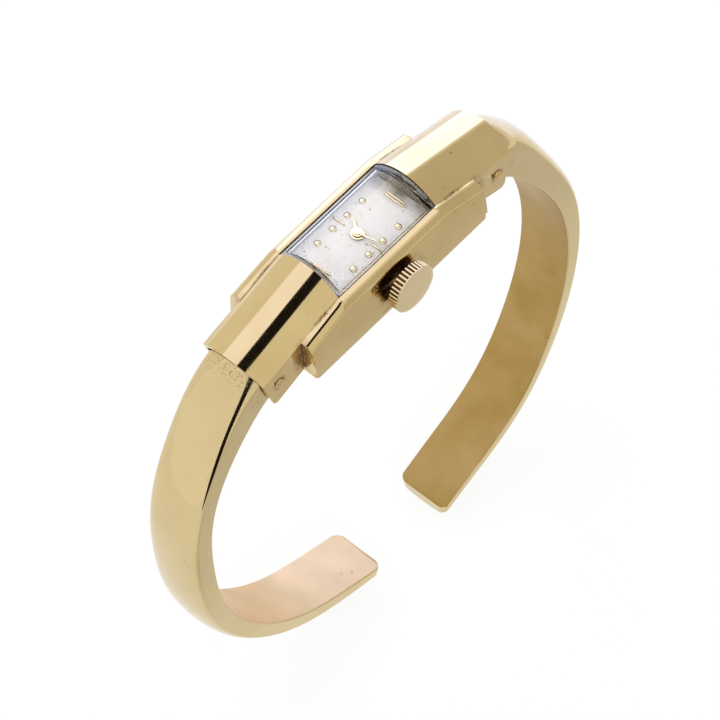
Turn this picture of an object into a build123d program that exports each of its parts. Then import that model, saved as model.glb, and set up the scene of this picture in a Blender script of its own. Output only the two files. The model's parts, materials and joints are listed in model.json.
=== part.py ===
from build123d import *
import math
import os

# A lady's hand-wound bangle watch: a slim rectangular case between two sloping
# tunnel hoods, each hiding the rivet hinge of one sprung bracelet arm.
# Millimetres. Origin at the centre of the case back's outer face, +Z out of the
# dial, +Y to 12 o'clock, +X to the crown.

os.makedirs("parts", exist_ok=True)

# General
overrun = 1.0
peg_sides = 6
pin_sides = 12
well_sides = 20
rim_sides = 28
coil_sides = 10
bar_end_shares = [-1.0, -0.4, 0.4, 1.0]
seat_gap = 0.02
running_gap = 0.05

# Case band, between the seam of the case back and the dial side
case_half_width = 5.42
case_half_length = 11.92
case_top = 6.2
seam = 0.9
flank_edge_half_width = 4.95
flank_side_height = 2.0
flank_bend_radius = 16.0
flank_edge_radius = 0.42
roof_slope = 14.6

# Glass opening and the dial's seat
glass_half_width = 3.8
glass_half_length = 6.7
glass_seat = 5.62
dial_window_half_width = 3.42
dial_window_half_length = 6.3
dial_half_width = 4.2
dial_half_length = 7.4
dial_thickness = 0.35
dial_top = 5.34
dial_pocket_gap = 0.08

# Chamber for the movement
chamber_half_width = 4.72
case_end_wall = 1.72
chamber_half_length = case_half_length - case_end_wall
chamber_corner = 0.8
chamber_top = 4.99

# Case back
back_floor = 0.55
back_inset = 0.12
back_edge_chamfer = 0.25
back_rim_top = 1.45
back_rim_wall = 0.42

# Hoods
hood_radius = 5.0
hood_wall = 0.45
hood_bulkhead = 0.4
hood_reach = 5.68
hood_end = case_half_length + hood_reach
hood_foot = -0.7
hood_heel = 0.6
hood_case_gap = 0.04
hood_foot_radius = 0.55

# Glass
glass_thickness = 0.6
glass_drop = 0.1
glass_gap = 0.05

# Hinge rivets
hinge_reach = 3.23
hinge_y = case_half_length + hinge_reach
hinge_z = 2.03
pin_radius = 0.42
pin_fit = 0.01
pin_head_radius = 0.56
pin_head_rise = 0.27
pin_face_radius = 0.34
arm_bore_gap = 0.06

# Bracelet arms
arm_side_gap = 0.2
arm_width = 2 * (glass_half_width - hood_wall - arm_side_gap)
arm_edge = 3.0
arm_crown = 1.35
arm_shoulder = 0.24
arm_tip_radius = 1.0
arm_6_reach = 13.88
arm_6_drop = 46.05
arm_12_reach = 13.73
arm_12_drop = 47.5
arm_root_rows = 5
# Stations of an arm: share of its reach beyond the case's end, share of its drop,
# share of the edge thickness, share of the dome's height
arm_6_shares = [
    (0.067, -0.022, 0.93, 1.00),
    (0.323, 0.002, 0.98, 1.00),
    (0.459, 0.033, 0.96, 0.95),
    (0.612, 0.074, 0.82, 0.88),
    (0.755, 0.125, 0.69, 0.82),
    (0.862, 0.178, 0.63, 0.78),
    (0.950, 0.250, 0.60, 0.76),
    (1.000, 0.395, 0.61, 0.76),
    (0.941, 0.590, 0.57, 0.76),
    (0.677, 0.762, 0.50, 0.76),
    (0.182, 0.905, 0.45, 0.74),
    (-0.138, 0.952, 0.40, 0.72),
    (-0.548, 1.000, 0.27, 0.70),
]
arm_12_shares = [
    (0.068, -0.021, 0.93, 1.00),
    (0.333, 0.0074, 0.98, 1.00),
    (0.440, 0.041, 0.98, 0.97),
    (0.544, 0.084, 0.92, 0.93),
    (0.647, 0.130, 0.84, 0.88),
    (0.757, 0.188, 0.76, 0.84),
    (0.916, 0.295, 0.67, 0.79),
    (1.000, 0.440, 0.55, 0.76),
    (0.961, 0.568, 0.46, 0.76),
    (0.750, 0.733, 0.40, 0.76),
    (0.313, 0.887, 0.34, 0.74),
    (-0.285, 0.969, 0.26, 0.70),
    (-0.526, 1.000, 0.22, 0.70),
]

# Leaf springs between a hood's roof and its arm
leaf_thickness = 0.2
leaf_width = 2.4
leaf_seat_width = 2.9
leaf_seat_height = 4.2
leaf_foot_height = 3.3
leaf_bend_height = 4.75
leaf_shoulder_height = 4.95
leaf_shoulder_reach = 1.68
leaf_tip_reach = 4.28
leaf_shoulder_y = case_half_length + leaf_shoulder_reach
leaf_tip_y = case_half_length + leaf_tip_reach
leaf_bend_radius = 0.5

# Crown and case tube
stem_height = 3.08
crown_radius = 2.48
crown_length = 1.3
crown_start = 5.87
crown_dome = 0.22
crown_face_step = 0.06
crown_bevel = 0.5
crown_flutes = 36
crown_flute_depth = 0.14
crown_recess_radius = 1.5
crown_recess_depth = 0.5
tube_outer_radius = 0.72
tube_inner_radius = 0.46
tube_inner_end = 4.8
tube_outer_end = 6.1

# Winding stem, from its pivot to the crown
stem_pivot_radius = 0.24
stem_square = 0.5
stem_body_radius = 0.42
stem_groove_radius = 0.26
stem_pivot_end = 1.25
stem_square_start = 2.0
stem_square_end = 3.27
stem_groove_start = 3.66
stem_groove_end = 3.86
stem_end = 6.9
stem_bearing_start = 1.2
stem_bearing_end = 1.85
stem_bearing_bottom = 2.7
stem_bearing_near_y = -0.58
stem_bearing_far_y = 1.0
stem_pull = 0.35

# Mainplate, its ring and the bridges
plate_half_width = 4.2
plate_end_6 = -8.3
plate_end_12 = 9.8
plate_corner = 0.7
plate_top = 4.94
plate_web_top = 4.18
plate_web_bottom = 3.88
plate_wall = 0.42
recess_left = -2.0
recess_right = 3.9
recess_near_y = -3.75
recess_far_y = 2.3
lever_notch_start = 3.0
lever_notch_width = 2.4
lever_notch_y = 0.75
bridge_top = 2.4
bridge_bottom = 1.78
bridge_recess_top = 2.06
barrel_bridge_end = 0.95
crown_wheel_side = 0.2
crown_wheel_side_end = 1.95
bridge_joint = 0.05
train_bridge_end = 5.3
balance_cut_radius = 2.45
holder_gap = 0.04
holder_bottom = 1.9
holder_top = 4.9
post_radius = 0.42
wide_post_radius = 0.55

# Going train in plan
barrel_y = -3.84
third_angle = 112.0
fourth_angle = 45.0
escape_angle = 155.0
balance_place = (0.15, 7.1)
pallet_angle = 58.6
pallet_distance = 1.3

# Teeth and modules
barrel_teeth = 40
centre_pinion_teeth = 8
centre_teeth = 48
third_pinion_teeth = 6
centre_module = 0.09
third_teeth = 45
fourth_pinion_teeth = 6
third_module = 0.085
fourth_teeth = 60
escape_pinion_teeth = 6
fourth_module = 0.065
escape_teeth = 15
escape_radius = 1.1
escape_tooth_depth = 0.34
cannon_teeth = 10
minute_teeth = 30
minute_pinion_teeth = 8
hour_teeth = 32
motion_module = 0.1
minute_angle = -69.5
setting_teeth = 10
ratchet_teeth = 33
crown_wheel_teeth = 20
winding_module = 0.16
winding_pinion_teeth = 14
addendum_share = 0.9
dedendum_share = 1.2
# Corners of an escape tooth: share of the pitch, share of the tooth's depth
escape_tooth_shares = [(-0.34, 0.0), (0.1, 1.0), (0.2, 1.0), (0.24, 0.0)]

# Heights of the train over the case back
centre_wheel_height = 2.47
centre_pinion_height = 3.30
centre_pinion_top = 3.84
third_pinion_height = 2.43
third_pinion_top = 2.62
third_wheel_height = 2.86
fourth_pinion_height = 2.80
fourth_pinion_top = 3.03
fourth_wheel_height = 3.42
escape_wheel_height = 3.14
escape_pinion_height = 3.36
escape_pinion_top = 3.60
train_wheel_thickness = 0.11
arbor_radius = 0.09
pivot_radius = 0.05
pivot_length = 0.2
jewel_radius = 0.26
jewel_bore = 0.07
jewel_depth = 0.22
jewel_web_depth = 0.02
wheel_rim = 0.3
wheel_hub_radius = 0.4
wheel_spoke_width = 0.26
wheel_spokes = 4
centre_arbor_radius = 0.2
centre_pivot_radius = 0.12
centre_pivot_end = 2.12

# Barrel
drum_radius = 2.9
drum_bottom = 2.68
drum_top = 3.80
drum_wall = 0.18
drum_floor = 0.16
barrel_teeth_height = 3.42
barrel_cover_thickness = 0.14
arbor_core_radius = 0.75
arbor_shank_radius = 0.42
arbor_pivot_radius = 0.24
arbor_core_gap = 0.03
mainspring_thickness = 0.1
mainspring_turns = 5
mainspring_gap = 0.06

# Winding wheels, their screws and the click
winding_wheel_thickness = 0.22
screw_head_height = 0.2
screw_slot = 0.14
ratchet_screw_radius = 0.62
ratchet_square = 0.55
crown_wheel_screw_radius = 0.75
crown_wheel_hub_radius = 0.43
screw_shank_radius = 0.16
click_angle = 140.0
click_distance = 3.75
click_radius = 0.36
click_arm = 0.95
click_lean = 20.0
click_width = 0.26
click_swing = 12.0

# Winding pinion and sliding pinion on the stem
winding_pinion_start = 3.30
winding_pinion_end = 3.62
sliding_pinion_start = 2.65
sliding_pinion_end = 3.24
sliding_pinion_radius = 0.64
sliding_groove_radius = 0.45
sliding_groove_start = 2.85
sliding_groove_end = 3.03
bore_gap = 0.03

# Setting works on the dial side of the plate
setting_bottom = 3.84
setting_top = 4.38
setting_post_radius = 0.18
setting_window_radius = 0.72
setting_window_bottom = 3.8
setting_bridge_height = 4.42
setting_bridge_thickness = 0.12
setting_bridge_width = 0.6
setting_screw_place = (3.05, 0.75)
setting_screw_head = 0.25
lever_height = 4.21
lever_thickness = 0.14
lever_pivot = (3.6, 1.3)
lever_boss_radius = 0.36
lever_finger_width = 0.14
lever_pin_radius = 0.07
lever_post_radius = 0.15
yoke_pivot = (2.45, 1.55)
yoke_boss_radius = 0.3

# Motion works
cannon_bottom = 4.22
cannon_pinion_top = 4.5
cannon_bore_radius = 0.22
cannon_pipe_radius = 0.33
cannon_top = 5.88
minute_wheel_height = 4.25
minute_wheel_thickness = 0.13
minute_pinion_top = 4.74
minute_post_radius = 0.14
hour_wheel_height = 4.59
hour_wheel_thickness = 0.13
hour_pipe_radius = 0.48
hour_pipe_bore = 0.37
hour_pipe_top = 5.64
dial_hole_radius = 0.58

# Hands
hour_hand_height = 5.52
hour_hand_thickness = 0.1
hour_hand_length = 2.1
hour_hand_width = 0.34
hour_boss_radius = 0.7
hour_hand_angle = 143.5
minute_hand_height = 5.7
minute_hand_thickness = 0.09
minute_hand_length = 3.1
minute_hand_width = 0.24
minute_boss_radius = 0.5
minute_hand_angle = 12.0
hand_tip_width = 0.1

# Dial markers
dot_radius = 0.36
dot_sides = 12
dot_rise = 0.2
dot_taper = 30.0
dot_x = 2.2
dot_near_y = 1.0
dot_far_y = 3.1
bar_width = 0.2
bar_rise = 0.16
side_bar_start = 1.6
side_bar_margin = 0.32
side_bar_end = dial_window_half_width - side_bar_margin
end_bar_half_length = 1.15
end_bar_margin = 1.1
end_bar_y = dial_window_half_length - end_bar_margin
end_bar_pitch = 0.34

# Balance, lever and their cocks
balance_radius = 2.15
balance_rim = 0.3
balance_bottom = 2.60
balance_thickness = 0.22
balance_arm_width = 0.32
balance_hub_radius = 0.3
staff_radius = 0.14
staff_bottom = 2.36
roller_radius = 0.34
roller_height = 3.28
roller_thickness = 0.1
impulse_pin_radius = 0.06
impulse_pin_reach = 0.25
impulse_pin_length = 0.17
hairspring_bottom = 2.46
hairspring_height = 0.07
hairspring_thickness = 0.05
hairspring_pitch = 0.2
hairspring_turns = 5
collet_radius = 0.24
collet_gap = 0.04
stud_radius = 0.09
cock_top = 2.3
cock_width = 1.4
cock_foot = (3.3, 8.95)
cock_foot_radius = 0.62
regulator_thickness = 0.12
regulator_length = 1.6
regulator_width = 0.26
regulator_radius = 0.55
regulator_angle = 130.0
regulator_pin_radius = 0.05
pallet_height = 3.12
pallet_thickness = 0.12
pallet_arm_width = 0.2
pallet_stone_width = 0.13
pallet_stone_length = 0.3
pallet_half_span = 30.0
pallet_stone_gap = 0.02
fork_width = 0.42
fork_slot = 0.15
fork_slot_depth = 0.2
fork_tip_gap = 0.22
pallet_cock_bottom = 2.92
pallet_cock_top = 3.06
pallet_cock_width = 0.7
pallet_cock_foot = (-3.3, 6.6)

# Bridge screws
bridge_screw_head = 0.3
bridge_screw_depth = 0.5
barrel_bridge_screws = [(-3.6, -7.7), (3.6, -7.7), (-3.75, 0.4), (3.7, -2.3)]
train_bridge_screws = [(-3.7, 3.0), (3.6, 3.6)]


def turned(place, angle, distance):
    """Returns the point at a distance and an angle in degrees from a place in plan."""
    radians = math.radians(angle)
    return (
        place[0] + distance * math.cos(radians),
        place[1] + distance * math.sin(radians),
    )


def at(place, height):
    """Returns the level plane over a place in plan."""
    return Plane((place[0], place[1], height))


def direction(start, end):
    """Returns the angle in degrees from one place in plan to another."""
    return math.degrees(math.atan2(end[1] - start[1], end[0] - start[0]))


def roof_height(y):
    """Returns the height of the flanks' roof at a distance from 3 and 9 o'clock."""
    fall = math.tan(math.radians(roof_slope))
    return case_top - max(abs(y) - glass_half_length, 0) * fall


def pitch_radius(teeth, module):
    """Returns a wheel's pitch radius."""
    return teeth * module / 2


def outside_radius(teeth, module):
    """Returns the radius over a wheel's tips."""
    return pitch_radius(teeth, module) + addendum_share * module


def root_radius(teeth, module):
    """Returns the radius at the bottom of a wheel's tooth gaps."""
    return pitch_radius(teeth, module) - dedendum_share * module


def meshed_phase(phase, teeth, mate_teeth, angle):
    """Returns the phase of a wheel at an angle from its driver, so that they mesh."""
    pitch = 360 / teeth
    lead = ((phase - angle) % pitch) / pitch
    return angle + 180 + (0.5 - lead) * 360 / mate_teeth


def tooth_points(teeth, module, phase):
    """Returns the outline of a toothed wheel, with plain pointed teeth."""
    pitch = 360 / teeth
    points = []
    for tooth in range(teeth):
        middle = phase + tooth * pitch
        gap = middle + pitch / 2
        points.append(turned((0, 0), middle, outside_radius(teeth, module)))
        points.append(turned((0, 0), gap, root_radius(teeth, module)))
    return points


def toothed(plane, thickness, teeth, module, phase):
    """Adds a toothed disc to the part in hand."""
    with BuildSketch(plane) as outline:
        with BuildLine():
            Polyline(*tooth_points(teeth, module, phase), close=True)
        make_face()
    extrude(outline.sketch, amount=thickness)


def disc(plane, thickness, radius, mode=Mode.ADD):
    """Adds a plain disc to the part in hand, or cuts one from it."""
    with BuildSketch(plane) as outline:
        Circle(radius)
    extrude(outline.sketch, amount=thickness, mode=mode)


def peg(plane, thickness, radius, mode=Mode.ADD, sides=peg_sides):
    """Adds a small inner pin with a few flats, or cuts a hole that clears one."""
    with BuildSketch(plane) as outline:
        RegularPolygon(radius, sides, major_radius=mode == Mode.ADD)
    extrude(outline.sketch, amount=thickness, mode=mode)


def block(plane, thickness, width, length, mode=Mode.ADD, corner=0):
    """Adds a rectangular block to the part in hand, or cuts one from it."""
    with BuildSketch(plane) as outline:
        Rectangle(width, length)
        if corner > 0:
            chamfer(outline.vertices(), corner)
    extrude(outline.sketch, amount=thickness, mode=mode)


def spokes(plane, thickness, teeth, module):
    """Cuts the windows between a wheel's spokes."""
    rim = root_radius(teeth, module) - wheel_rim
    side = wheel_spoke_width / 2
    with BuildSketch(plane) as windows:
        with PolarLocations(0, wheel_spokes):
            with BuildLine() as window:
                corner = rim * math.sqrt(0.5)
                Polyline(
                    (side, wheel_hub_radius),
                    (side, rim - side),
                    (corner, corner),
                    (rim - side, side),
                    (wheel_hub_radius, side),
                    close=True,
                )
            make_face()
    extrude(windows.sketch, amount=thickness, mode=Mode.SUBTRACT)


def bar(height, thickness, start, end, width, mode=Mode.ADD):
    """Adds a bar with blunt ends between two places in plan, or cuts one."""
    heading = direction(start, end)
    points = []
    for place, turn in ((end, 0), (start, 180)):
        for share in bar_end_shares:
            angle = heading + turn + share * 90
            points.append(turned(place, angle, width / 2))
    with BuildSketch(Plane.XY.offset(height)) as outline:
        with BuildLine():
            Polyline(*points, close=True)
        make_face()
    extrude(outline.sketch, amount=thickness, mode=mode)


def slotted_head(place, bottom, height, radius):
    """Adds a slotted screw head whose slot faces the case back."""
    peg(at(place, bottom), height, radius)
    slot_depth = height / 2
    block(at(place, bottom), slot_depth, 2 * radius, screw_slot, mode=Mode.SUBTRACT)


def write(part, name):
    """Labels a finished piece and writes its STEP file."""
    part.label = name
    export_step(part, f"parts/{name}.step")


# Case band
with BuildPart() as case_band:
    with BuildSketch(Plane.XZ) as section:
        with BuildLine():
            Polyline(
                (0, seam),
                (case_half_width, seam),
                (case_half_width, flank_side_height),
                (flank_edge_half_width, case_top),
                (0, case_top),
                close=True,
            )
        make_face()
        bend = section.vertices().sort_by(Axis.X)[-2:].sort_by(Axis.Y)[-1]
        fillet(bend, flank_bend_radius)
        mirror(about=Plane.YZ)
    extrude(amount=case_half_length, both=True)
    far = case_half_length + overrun
    for sense in (-1, 1):
        with BuildSketch(Plane.YZ):
            with BuildLine():
                Polyline(
                    (sense * glass_half_length, case_top),
                    (sense * far, roof_height(far)),
                    (sense * far, case_top + overrun),
                    (sense * glass_half_length, case_top + overrun),
                    close=True,
                )
            make_face()
        extrude(amount=case_half_width + overrun, both=True, mode=Mode.SUBTRACT)
    top_edges = case_band.edges().filter_by(
        lambda e: abs(e.center().X) > glass_half_width
        and e.center().Z > roof_height(case_half_length)
        and e.bounding_box().size.Y > overrun
    )
    fillet(top_edges, flank_edge_radius)
    block(
        Plane.XY.offset(seam - overrun),
        chamber_top - seam + overrun,
        2 * chamber_half_width,
        2 * chamber_half_length,
        Mode.SUBTRACT,
        chamber_corner,
    )
    block(
        Plane.XY.offset(seam),
        dial_top + seat_gap - seam,
        2 * (dial_half_width + dial_pocket_gap),
        2 * (dial_half_length + dial_pocket_gap),
        Mode.SUBTRACT,
    )
    block(
        Plane.XY.offset(seam),
        case_top,
        2 * dial_window_half_width,
        2 * dial_window_half_length,
        Mode.SUBTRACT,
    )
    block(
        Plane.XY.offset(glass_seat),
        case_top,
        2 * glass_half_width,
        2 * glass_half_length,
        Mode.SUBTRACT,
    )
    with BuildSketch(Plane.YZ.offset(tube_inner_end - overrun)):
        with Locations((0, stem_height)):
            Circle(tube_outer_radius + pin_fit)
    extrude(amount=case_half_width, mode=Mode.SUBTRACT)
write(case_band.part, "case_band")

# Case back, a snap cover with a rim that enters the band
with BuildPart() as case_back:
    back_half_width = case_half_width - back_inset
    back_half_length = case_half_length - back_inset
    with BuildSketch(Plane.XY):
        Rectangle(2 * back_half_width, 2 * back_half_length)
    extrude(amount=seam)
    chamfer(case_back.faces().sort_by(Axis.Z)[0].edges(), back_edge_chamfer)
    rim_half_width = chamber_half_width - seat_gap
    rim_half_length = chamber_half_length - seat_gap
    block(
        Plane.XY.offset(seam),
        back_rim_top - seam,
        2 * rim_half_width,
        2 * rim_half_length,
        Mode.ADD,
        chamber_corner - seat_gap,
    )
    block(
        Plane.XY.offset(back_floor),
        back_rim_top,
        2 * (rim_half_width - back_rim_wall),
        2 * (rim_half_length - back_rim_wall),
        Mode.SUBTRACT,
        chamber_corner - back_rim_wall,
    )
write(case_back.part, "case_back")


def arch(plane, radius, half_width, floor):
    """Returns a section with an arch over straight walls, its spring line at zero."""
    spring = math.sqrt(radius**2 - half_width**2) - arch_drop
    with BuildSketch(plane) as section:
        with BuildLine():
            Line((-half_width, floor), (half_width, floor))
            Line((half_width, floor), (half_width, spring))
            ThreePointArc(
                (half_width, spring), (0, radius - arch_drop), (-half_width, spring)
            )
            Line((-half_width, spring), (-half_width, floor))
        make_face()
    return section.sketch


# The arch's centre lies this far below the roof's line
arch_drop = math.sqrt(hood_radius**2 - glass_half_width**2)
slope = math.radians(roof_slope)
hood_length = 2 * hood_end
hood_depth = hood_radius + case_top
hood_crest = roof_height(hood_end) + hood_radius - arch_drop
foot_fall = (hood_crest - hood_foot) * math.tan(slope)
hood_rise = hood_radius * math.tan(slope)
hood_plane = Plane(
    (0, glass_half_length, case_top),
    x_dir=(-1, 0, 0),
    z_dir=(0, math.cos(slope), -math.sin(slope)),
)

# The hollow of the 12 o'clock hood, behind its bulkhead
with BuildPart() as hood_hollow:
    hollow_radius = hood_radius - hood_wall
    hollow_half_width = glass_half_width - hood_wall
    hollow = arch(hood_plane, hollow_radius, hollow_half_width, -hood_depth)
    extrude(hollow, amount=hood_length, both=True)
    bulkhead = glass_half_length + hood_bulkhead
    with BuildSketch(Plane.YZ.offset(-case_half_width)) as behind:
        with Locations((bulkhead, 0)):
            Rectangle(
                hood_length, hood_length, align=(Align.MIN, Align.CENTER)
            )
    extrude(behind.sketch, amount=2 * case_half_width, mode=Mode.INTERSECT)

# The 12 o'clock hood, a sloping tunnel whose outer end is open
with BuildPart() as hood:
    shell = arch(hood_plane, hood_radius, glass_half_width, -hood_depth)
    extrude(shell, amount=hood_length, both=True)
    with BuildSketch(Plane.YZ.offset(-case_half_width)) as side:
        with BuildLine():
            clear = case_half_length + hood_case_gap
            Polyline(
                (glass_half_length, case_top),
                (glass_half_length, case_top + hood_radius),
                (hood_end + hood_rise, hood_crest + hood_radius),
                (hood_end, hood_crest),
                (hood_end - foot_fall, hood_foot),
                (clear, hood_heel),
                (clear, roof_height(clear)),
                close=True,
            )
        make_face()
        foot = side.vertices().sort_by(Axis.Y)[0]
        fillet(foot, hood_foot_radius)
    extrude(side.sketch, amount=2 * case_half_width, mode=Mode.INTERSECT)
    add(hood_hollow.part, mode=Mode.SUBTRACT)
    hole_plane = Plane(
        (-case_half_width, hinge_y, hinge_z), x_dir=(0, 1, 0), z_dir=(1, 0, 0)
    )
    hole_length = 2 * case_half_width
    peg(hole_plane, hole_length, pin_radius + pin_fit, Mode.SUBTRACT, pin_sides)
write(mirror(hood.part, about=Plane.XZ), "hood_6")
write(hood.part, "hood_12")

# Glass, an arched box of clear plastic that seats on the band's ledge
with BuildPart() as crystal:
    glass_radius = hood_radius - glass_drop
    glass_width = glass_half_width - glass_gap
    glass_length = glass_half_length - glass_gap
    top_plane = Plane((0, 0, case_top), x_dir=(-1, 0, 0), z_dir=(0, 1, 0))
    glass_floor = glass_seat - case_top
    glass = arch(top_plane, glass_radius, glass_width, glass_floor)
    extrude(glass, amount=glass_length, both=True)
    inner_width = glass_width - glass_thickness
    inner_radius = glass_radius - glass_thickness
    hollow = arch(top_plane, inner_radius, inner_width, glass_floor - overrun)
    inner_length = glass_length - glass_thickness
    extrude(hollow, amount=inner_length, both=True, mode=Mode.SUBTRACT)
write(crystal.part, "crystal")


def between(shares):
    """Returns a table's rows, with one more between each two of the long curve."""
    rows = shares[:arm_root_rows]
    for i in range(arm_root_rows - 1, len(shares) - 1):
        before = shares[max(i - 1, 0)]
        after = shares[min(i + 2, len(shares) - 1)]
        near = zip(shares[i], shares[i + 1], before, after)
        rows.append(tuple((9 * (a + b) - c - d) / 16 for a, b, c, d in near))
        rows.append(shares[i + 1])
    return rows


def arm_stations(reach, drop, shares):
    """Returns an arm's stations: inner point, tangent, edge thickness, dome height."""
    rows = between(shares)
    points = [(case_half_length + reach * y, -drop * z) for y, z, _, _ in rows]
    stations = []
    for i, (y, z) in enumerate(points):
        before = points[max(i - 1, 0)]
        after = points[min(i + 1, len(points) - 1)]
        tangent = (0, after[0] - before[0], after[1] - before[1])
        edge, crown = arm_edge * rows[i][2], arm_crown * rows[i][3]
        stations.append(((0, y, z), tangent, edge, crown))
    return stations


def make_arm(reach, drop, shares):
    """Returns a bracelet arm on the 12 o'clock side, a tapering domed strip."""
    half = arm_width / 2
    with BuildPart() as arm:
        for point, tangent, edge, crown in arm_stations(reach, drop, shares):
            plane = Plane(point, x_dir=(-1, 0, 0), z_dir=tangent)
            with BuildSketch(plane) as section:
                with BuildLine():
                    Line((-half, 0), (half, 0))
                    Line((half, 0), (half, edge))
                    ThreePointArc((half, edge), (0, edge + crown), (-half, edge))
                    Line((-half, edge), (-half, 0))
                make_face()
                corners = section.vertices().sort_by(Axis.Y)
                chamfer(corners[2:], arm_shoulder)
        loft(ruled=True)
        with BuildSketch(Plane.YZ) as bore:
            with Locations((hinge_y, hinge_z)):
                Circle(pin_radius + arm_bore_gap)
        extrude(amount=case_half_width, both=True, mode=Mode.SUBTRACT)
        seat_length = leaf_tip_y + leaf_bend_radius - case_half_length
        with BuildSketch(Plane.XY.offset(leaf_seat_height)) as leaf_seat:
            with Locations((0, case_half_length + seat_length / 2)):
                Rectangle(leaf_seat_width, seat_length)
        extrude(amount=case_top, mode=Mode.SUBTRACT)
        tip_y = case_half_length + reach * shares[-1][0]
        side_y = tip_y + arm_tip_radius
        middle = (half - arm_tip_radius, side_y)
        with BuildSketch(Plane.XY.offset(-drop - arm_edge)):
            with BuildLine():
                Polyline(
                    (half - arm_tip_radius, tip_y - overrun),
                    turned(middle, -90, arm_tip_radius),
                    turned(middle, -45, arm_tip_radius),
                    turned(middle, 0, arm_tip_radius),
                    (half + overrun, side_y),
                    (half + overrun, tip_y - overrun),
                    close=True,
                )
            make_face()
            mirror(about=Plane.YZ)
        extrude(amount=2 * arm_edge, mode=Mode.SUBTRACT)
    return arm.part


arm_12 = make_arm(arm_12_reach, arm_12_drop, arm_12_shares)
arm_6 = make_arm(arm_6_reach, arm_6_drop, arm_6_shares)
write(arm_12, "arm_12")
write(mirror(arm_6, about=Plane.XZ), "arm_6")

# Hinge rivets, each with two raised heads
with BuildPart() as hinge_pin:
    head_start = glass_half_width + pin_fit
    head_end = head_start + pin_head_rise
    shank_plane = Plane((-head_start, hinge_y, hinge_z), x_dir=(0, 1, 0), z_dir=(1, 0, 0))
    peg(shank_plane, 2 * head_start, pin_radius, sides=pin_sides)
    narrowing = pin_head_radius - pin_face_radius
    head_taper = math.degrees(math.atan2(narrowing, pin_head_rise))
    for sense in (-1, 1):
        head_place = (sense * head_start, hinge_y, hinge_z)
        with BuildSketch(Plane(head_place, x_dir=(0, 1, 0), z_dir=(sense, 0, 0))):
            RegularPolygon(pin_head_radius, well_sides)
        extrude(amount=pin_head_rise, taper=head_taper)
write(mirror(hinge_pin.part, about=Plane.XZ), "hinge_pin_6")
write(hinge_pin.part, "hinge_pin_12")

# Leaf springs, bowed out from the case's end wall onto the arm's root
with BuildPart() as arm_spring:
    leaf_start = case_half_length + seat_gap + leaf_thickness / 2
    leaf_end_height = leaf_seat_height + seat_gap + leaf_thickness / 2
    with BuildSketch(Plane.YZ):
        with BuildLine():
            FilletPolyline(
                (leaf_start, leaf_foot_height),
                (leaf_start, leaf_bend_height),
                (leaf_shoulder_y, leaf_shoulder_height),
                (leaf_tip_y, leaf_end_height),
                radius=leaf_bend_radius,
            )
        trace(line_width=leaf_thickness)
    extrude(amount=leaf_width / 2, both=True)
write(mirror(arm_spring.part, about=Plane.XZ), "arm_spring_6")
write(arm_spring.part, "arm_spring_12")


def across(x):
    """Returns the upright plane across the winding stem at a distance along X."""
    return Plane((x, 0, stem_height), x_dir=(0, 1, 0), z_dir=(1, 0, 0))


# Case tube, pressed into the band
with BuildPart() as case_tube:
    tube_length = tube_outer_end - tube_inner_end
    disc(across(tube_inner_end), tube_length, tube_outer_radius)
    tube_bore = tube_inner_radius
    peg(across(tube_inner_end), tube_length, tube_bore, Mode.SUBTRACT, pin_sides)
write(case_tube.part, "case_tube")

# Crown, hollow behind and fluted round its rim
with BuildPart() as crown:
    rim_length = crown_length - crown_dome
    with BuildSketch(across(crown_start)) as flutes:
        with BuildLine():
            flute_points = []
            valley_radius = crown_radius - crown_flute_depth
            for flute in range(crown_flutes):
                ridge = 360 * flute / crown_flutes
                valley = ridge + 180 / crown_flutes
                flute_points.append(turned((0, 0), ridge, crown_radius))
                flute_points.append(turned((0, 0), valley, valley_radius))
            Polyline(*flute_points, close=True)
        make_face()
    extrude(flutes.sketch, amount=rim_length)
    with BuildSketch(Plane((0, 0, stem_height), x_dir=(1, 0, 0), z_dir=(0, -1, 0))):
        with BuildLine():
            rim_end = crown_start + rim_length
            face_radius = valley_radius - crown_face_step
            Polyline(
                (rim_end + crown_dome, 0),
                (rim_end, 0),
                (rim_end, face_radius),
                (rim_end + crown_dome, face_radius - crown_bevel),
                close=True,
            )
        make_face()
    revolve(axis=Axis((0, 0, stem_height), (1, 0, 0)))
    recess = crown_recess_depth
    peg(across(crown_start), recess, crown_recess_radius, Mode.SUBTRACT, well_sides)
    bore_length = stem_end + seat_gap - crown_start
    peg(across(crown_start), bore_length, stem_body_radius + pin_fit, Mode.SUBTRACT)
write(crown.part, "crown")

# Winding stem
with BuildPart() as winding_stem:
    pivot_length_x = stem_square_start - stem_pivot_end
    peg(across(stem_pivot_end), pivot_length_x, stem_pivot_radius)
    square_length = stem_square_end - stem_square_start
    block(across(stem_square_start), square_length, stem_square, stem_square)
    peg(across(stem_square_end), stem_end - stem_square_end, stem_body_radius)
    groove_length = stem_groove_end - stem_groove_start
    with BuildSketch(across(stem_groove_start)) as groove:
        Circle(stem_body_radius)
        Circle(stem_groove_radius, mode=Mode.SUBTRACT)
    extrude(groove.sketch, amount=groove_length, mode=Mode.SUBTRACT)
write(winding_stem.part, "winding_stem")

# Winding pinion, turned by the stem and driving the crown wheel
with BuildPart() as winding_pinion:
    length = winding_pinion_end - winding_pinion_start
    plane = across(winding_pinion_start)
    toothed(plane, length, winding_pinion_teeth, winding_module, -90)
    peg(plane, length, stem_body_radius + bore_gap, Mode.SUBTRACT)
write(winding_pinion.part, "winding_pinion")

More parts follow.
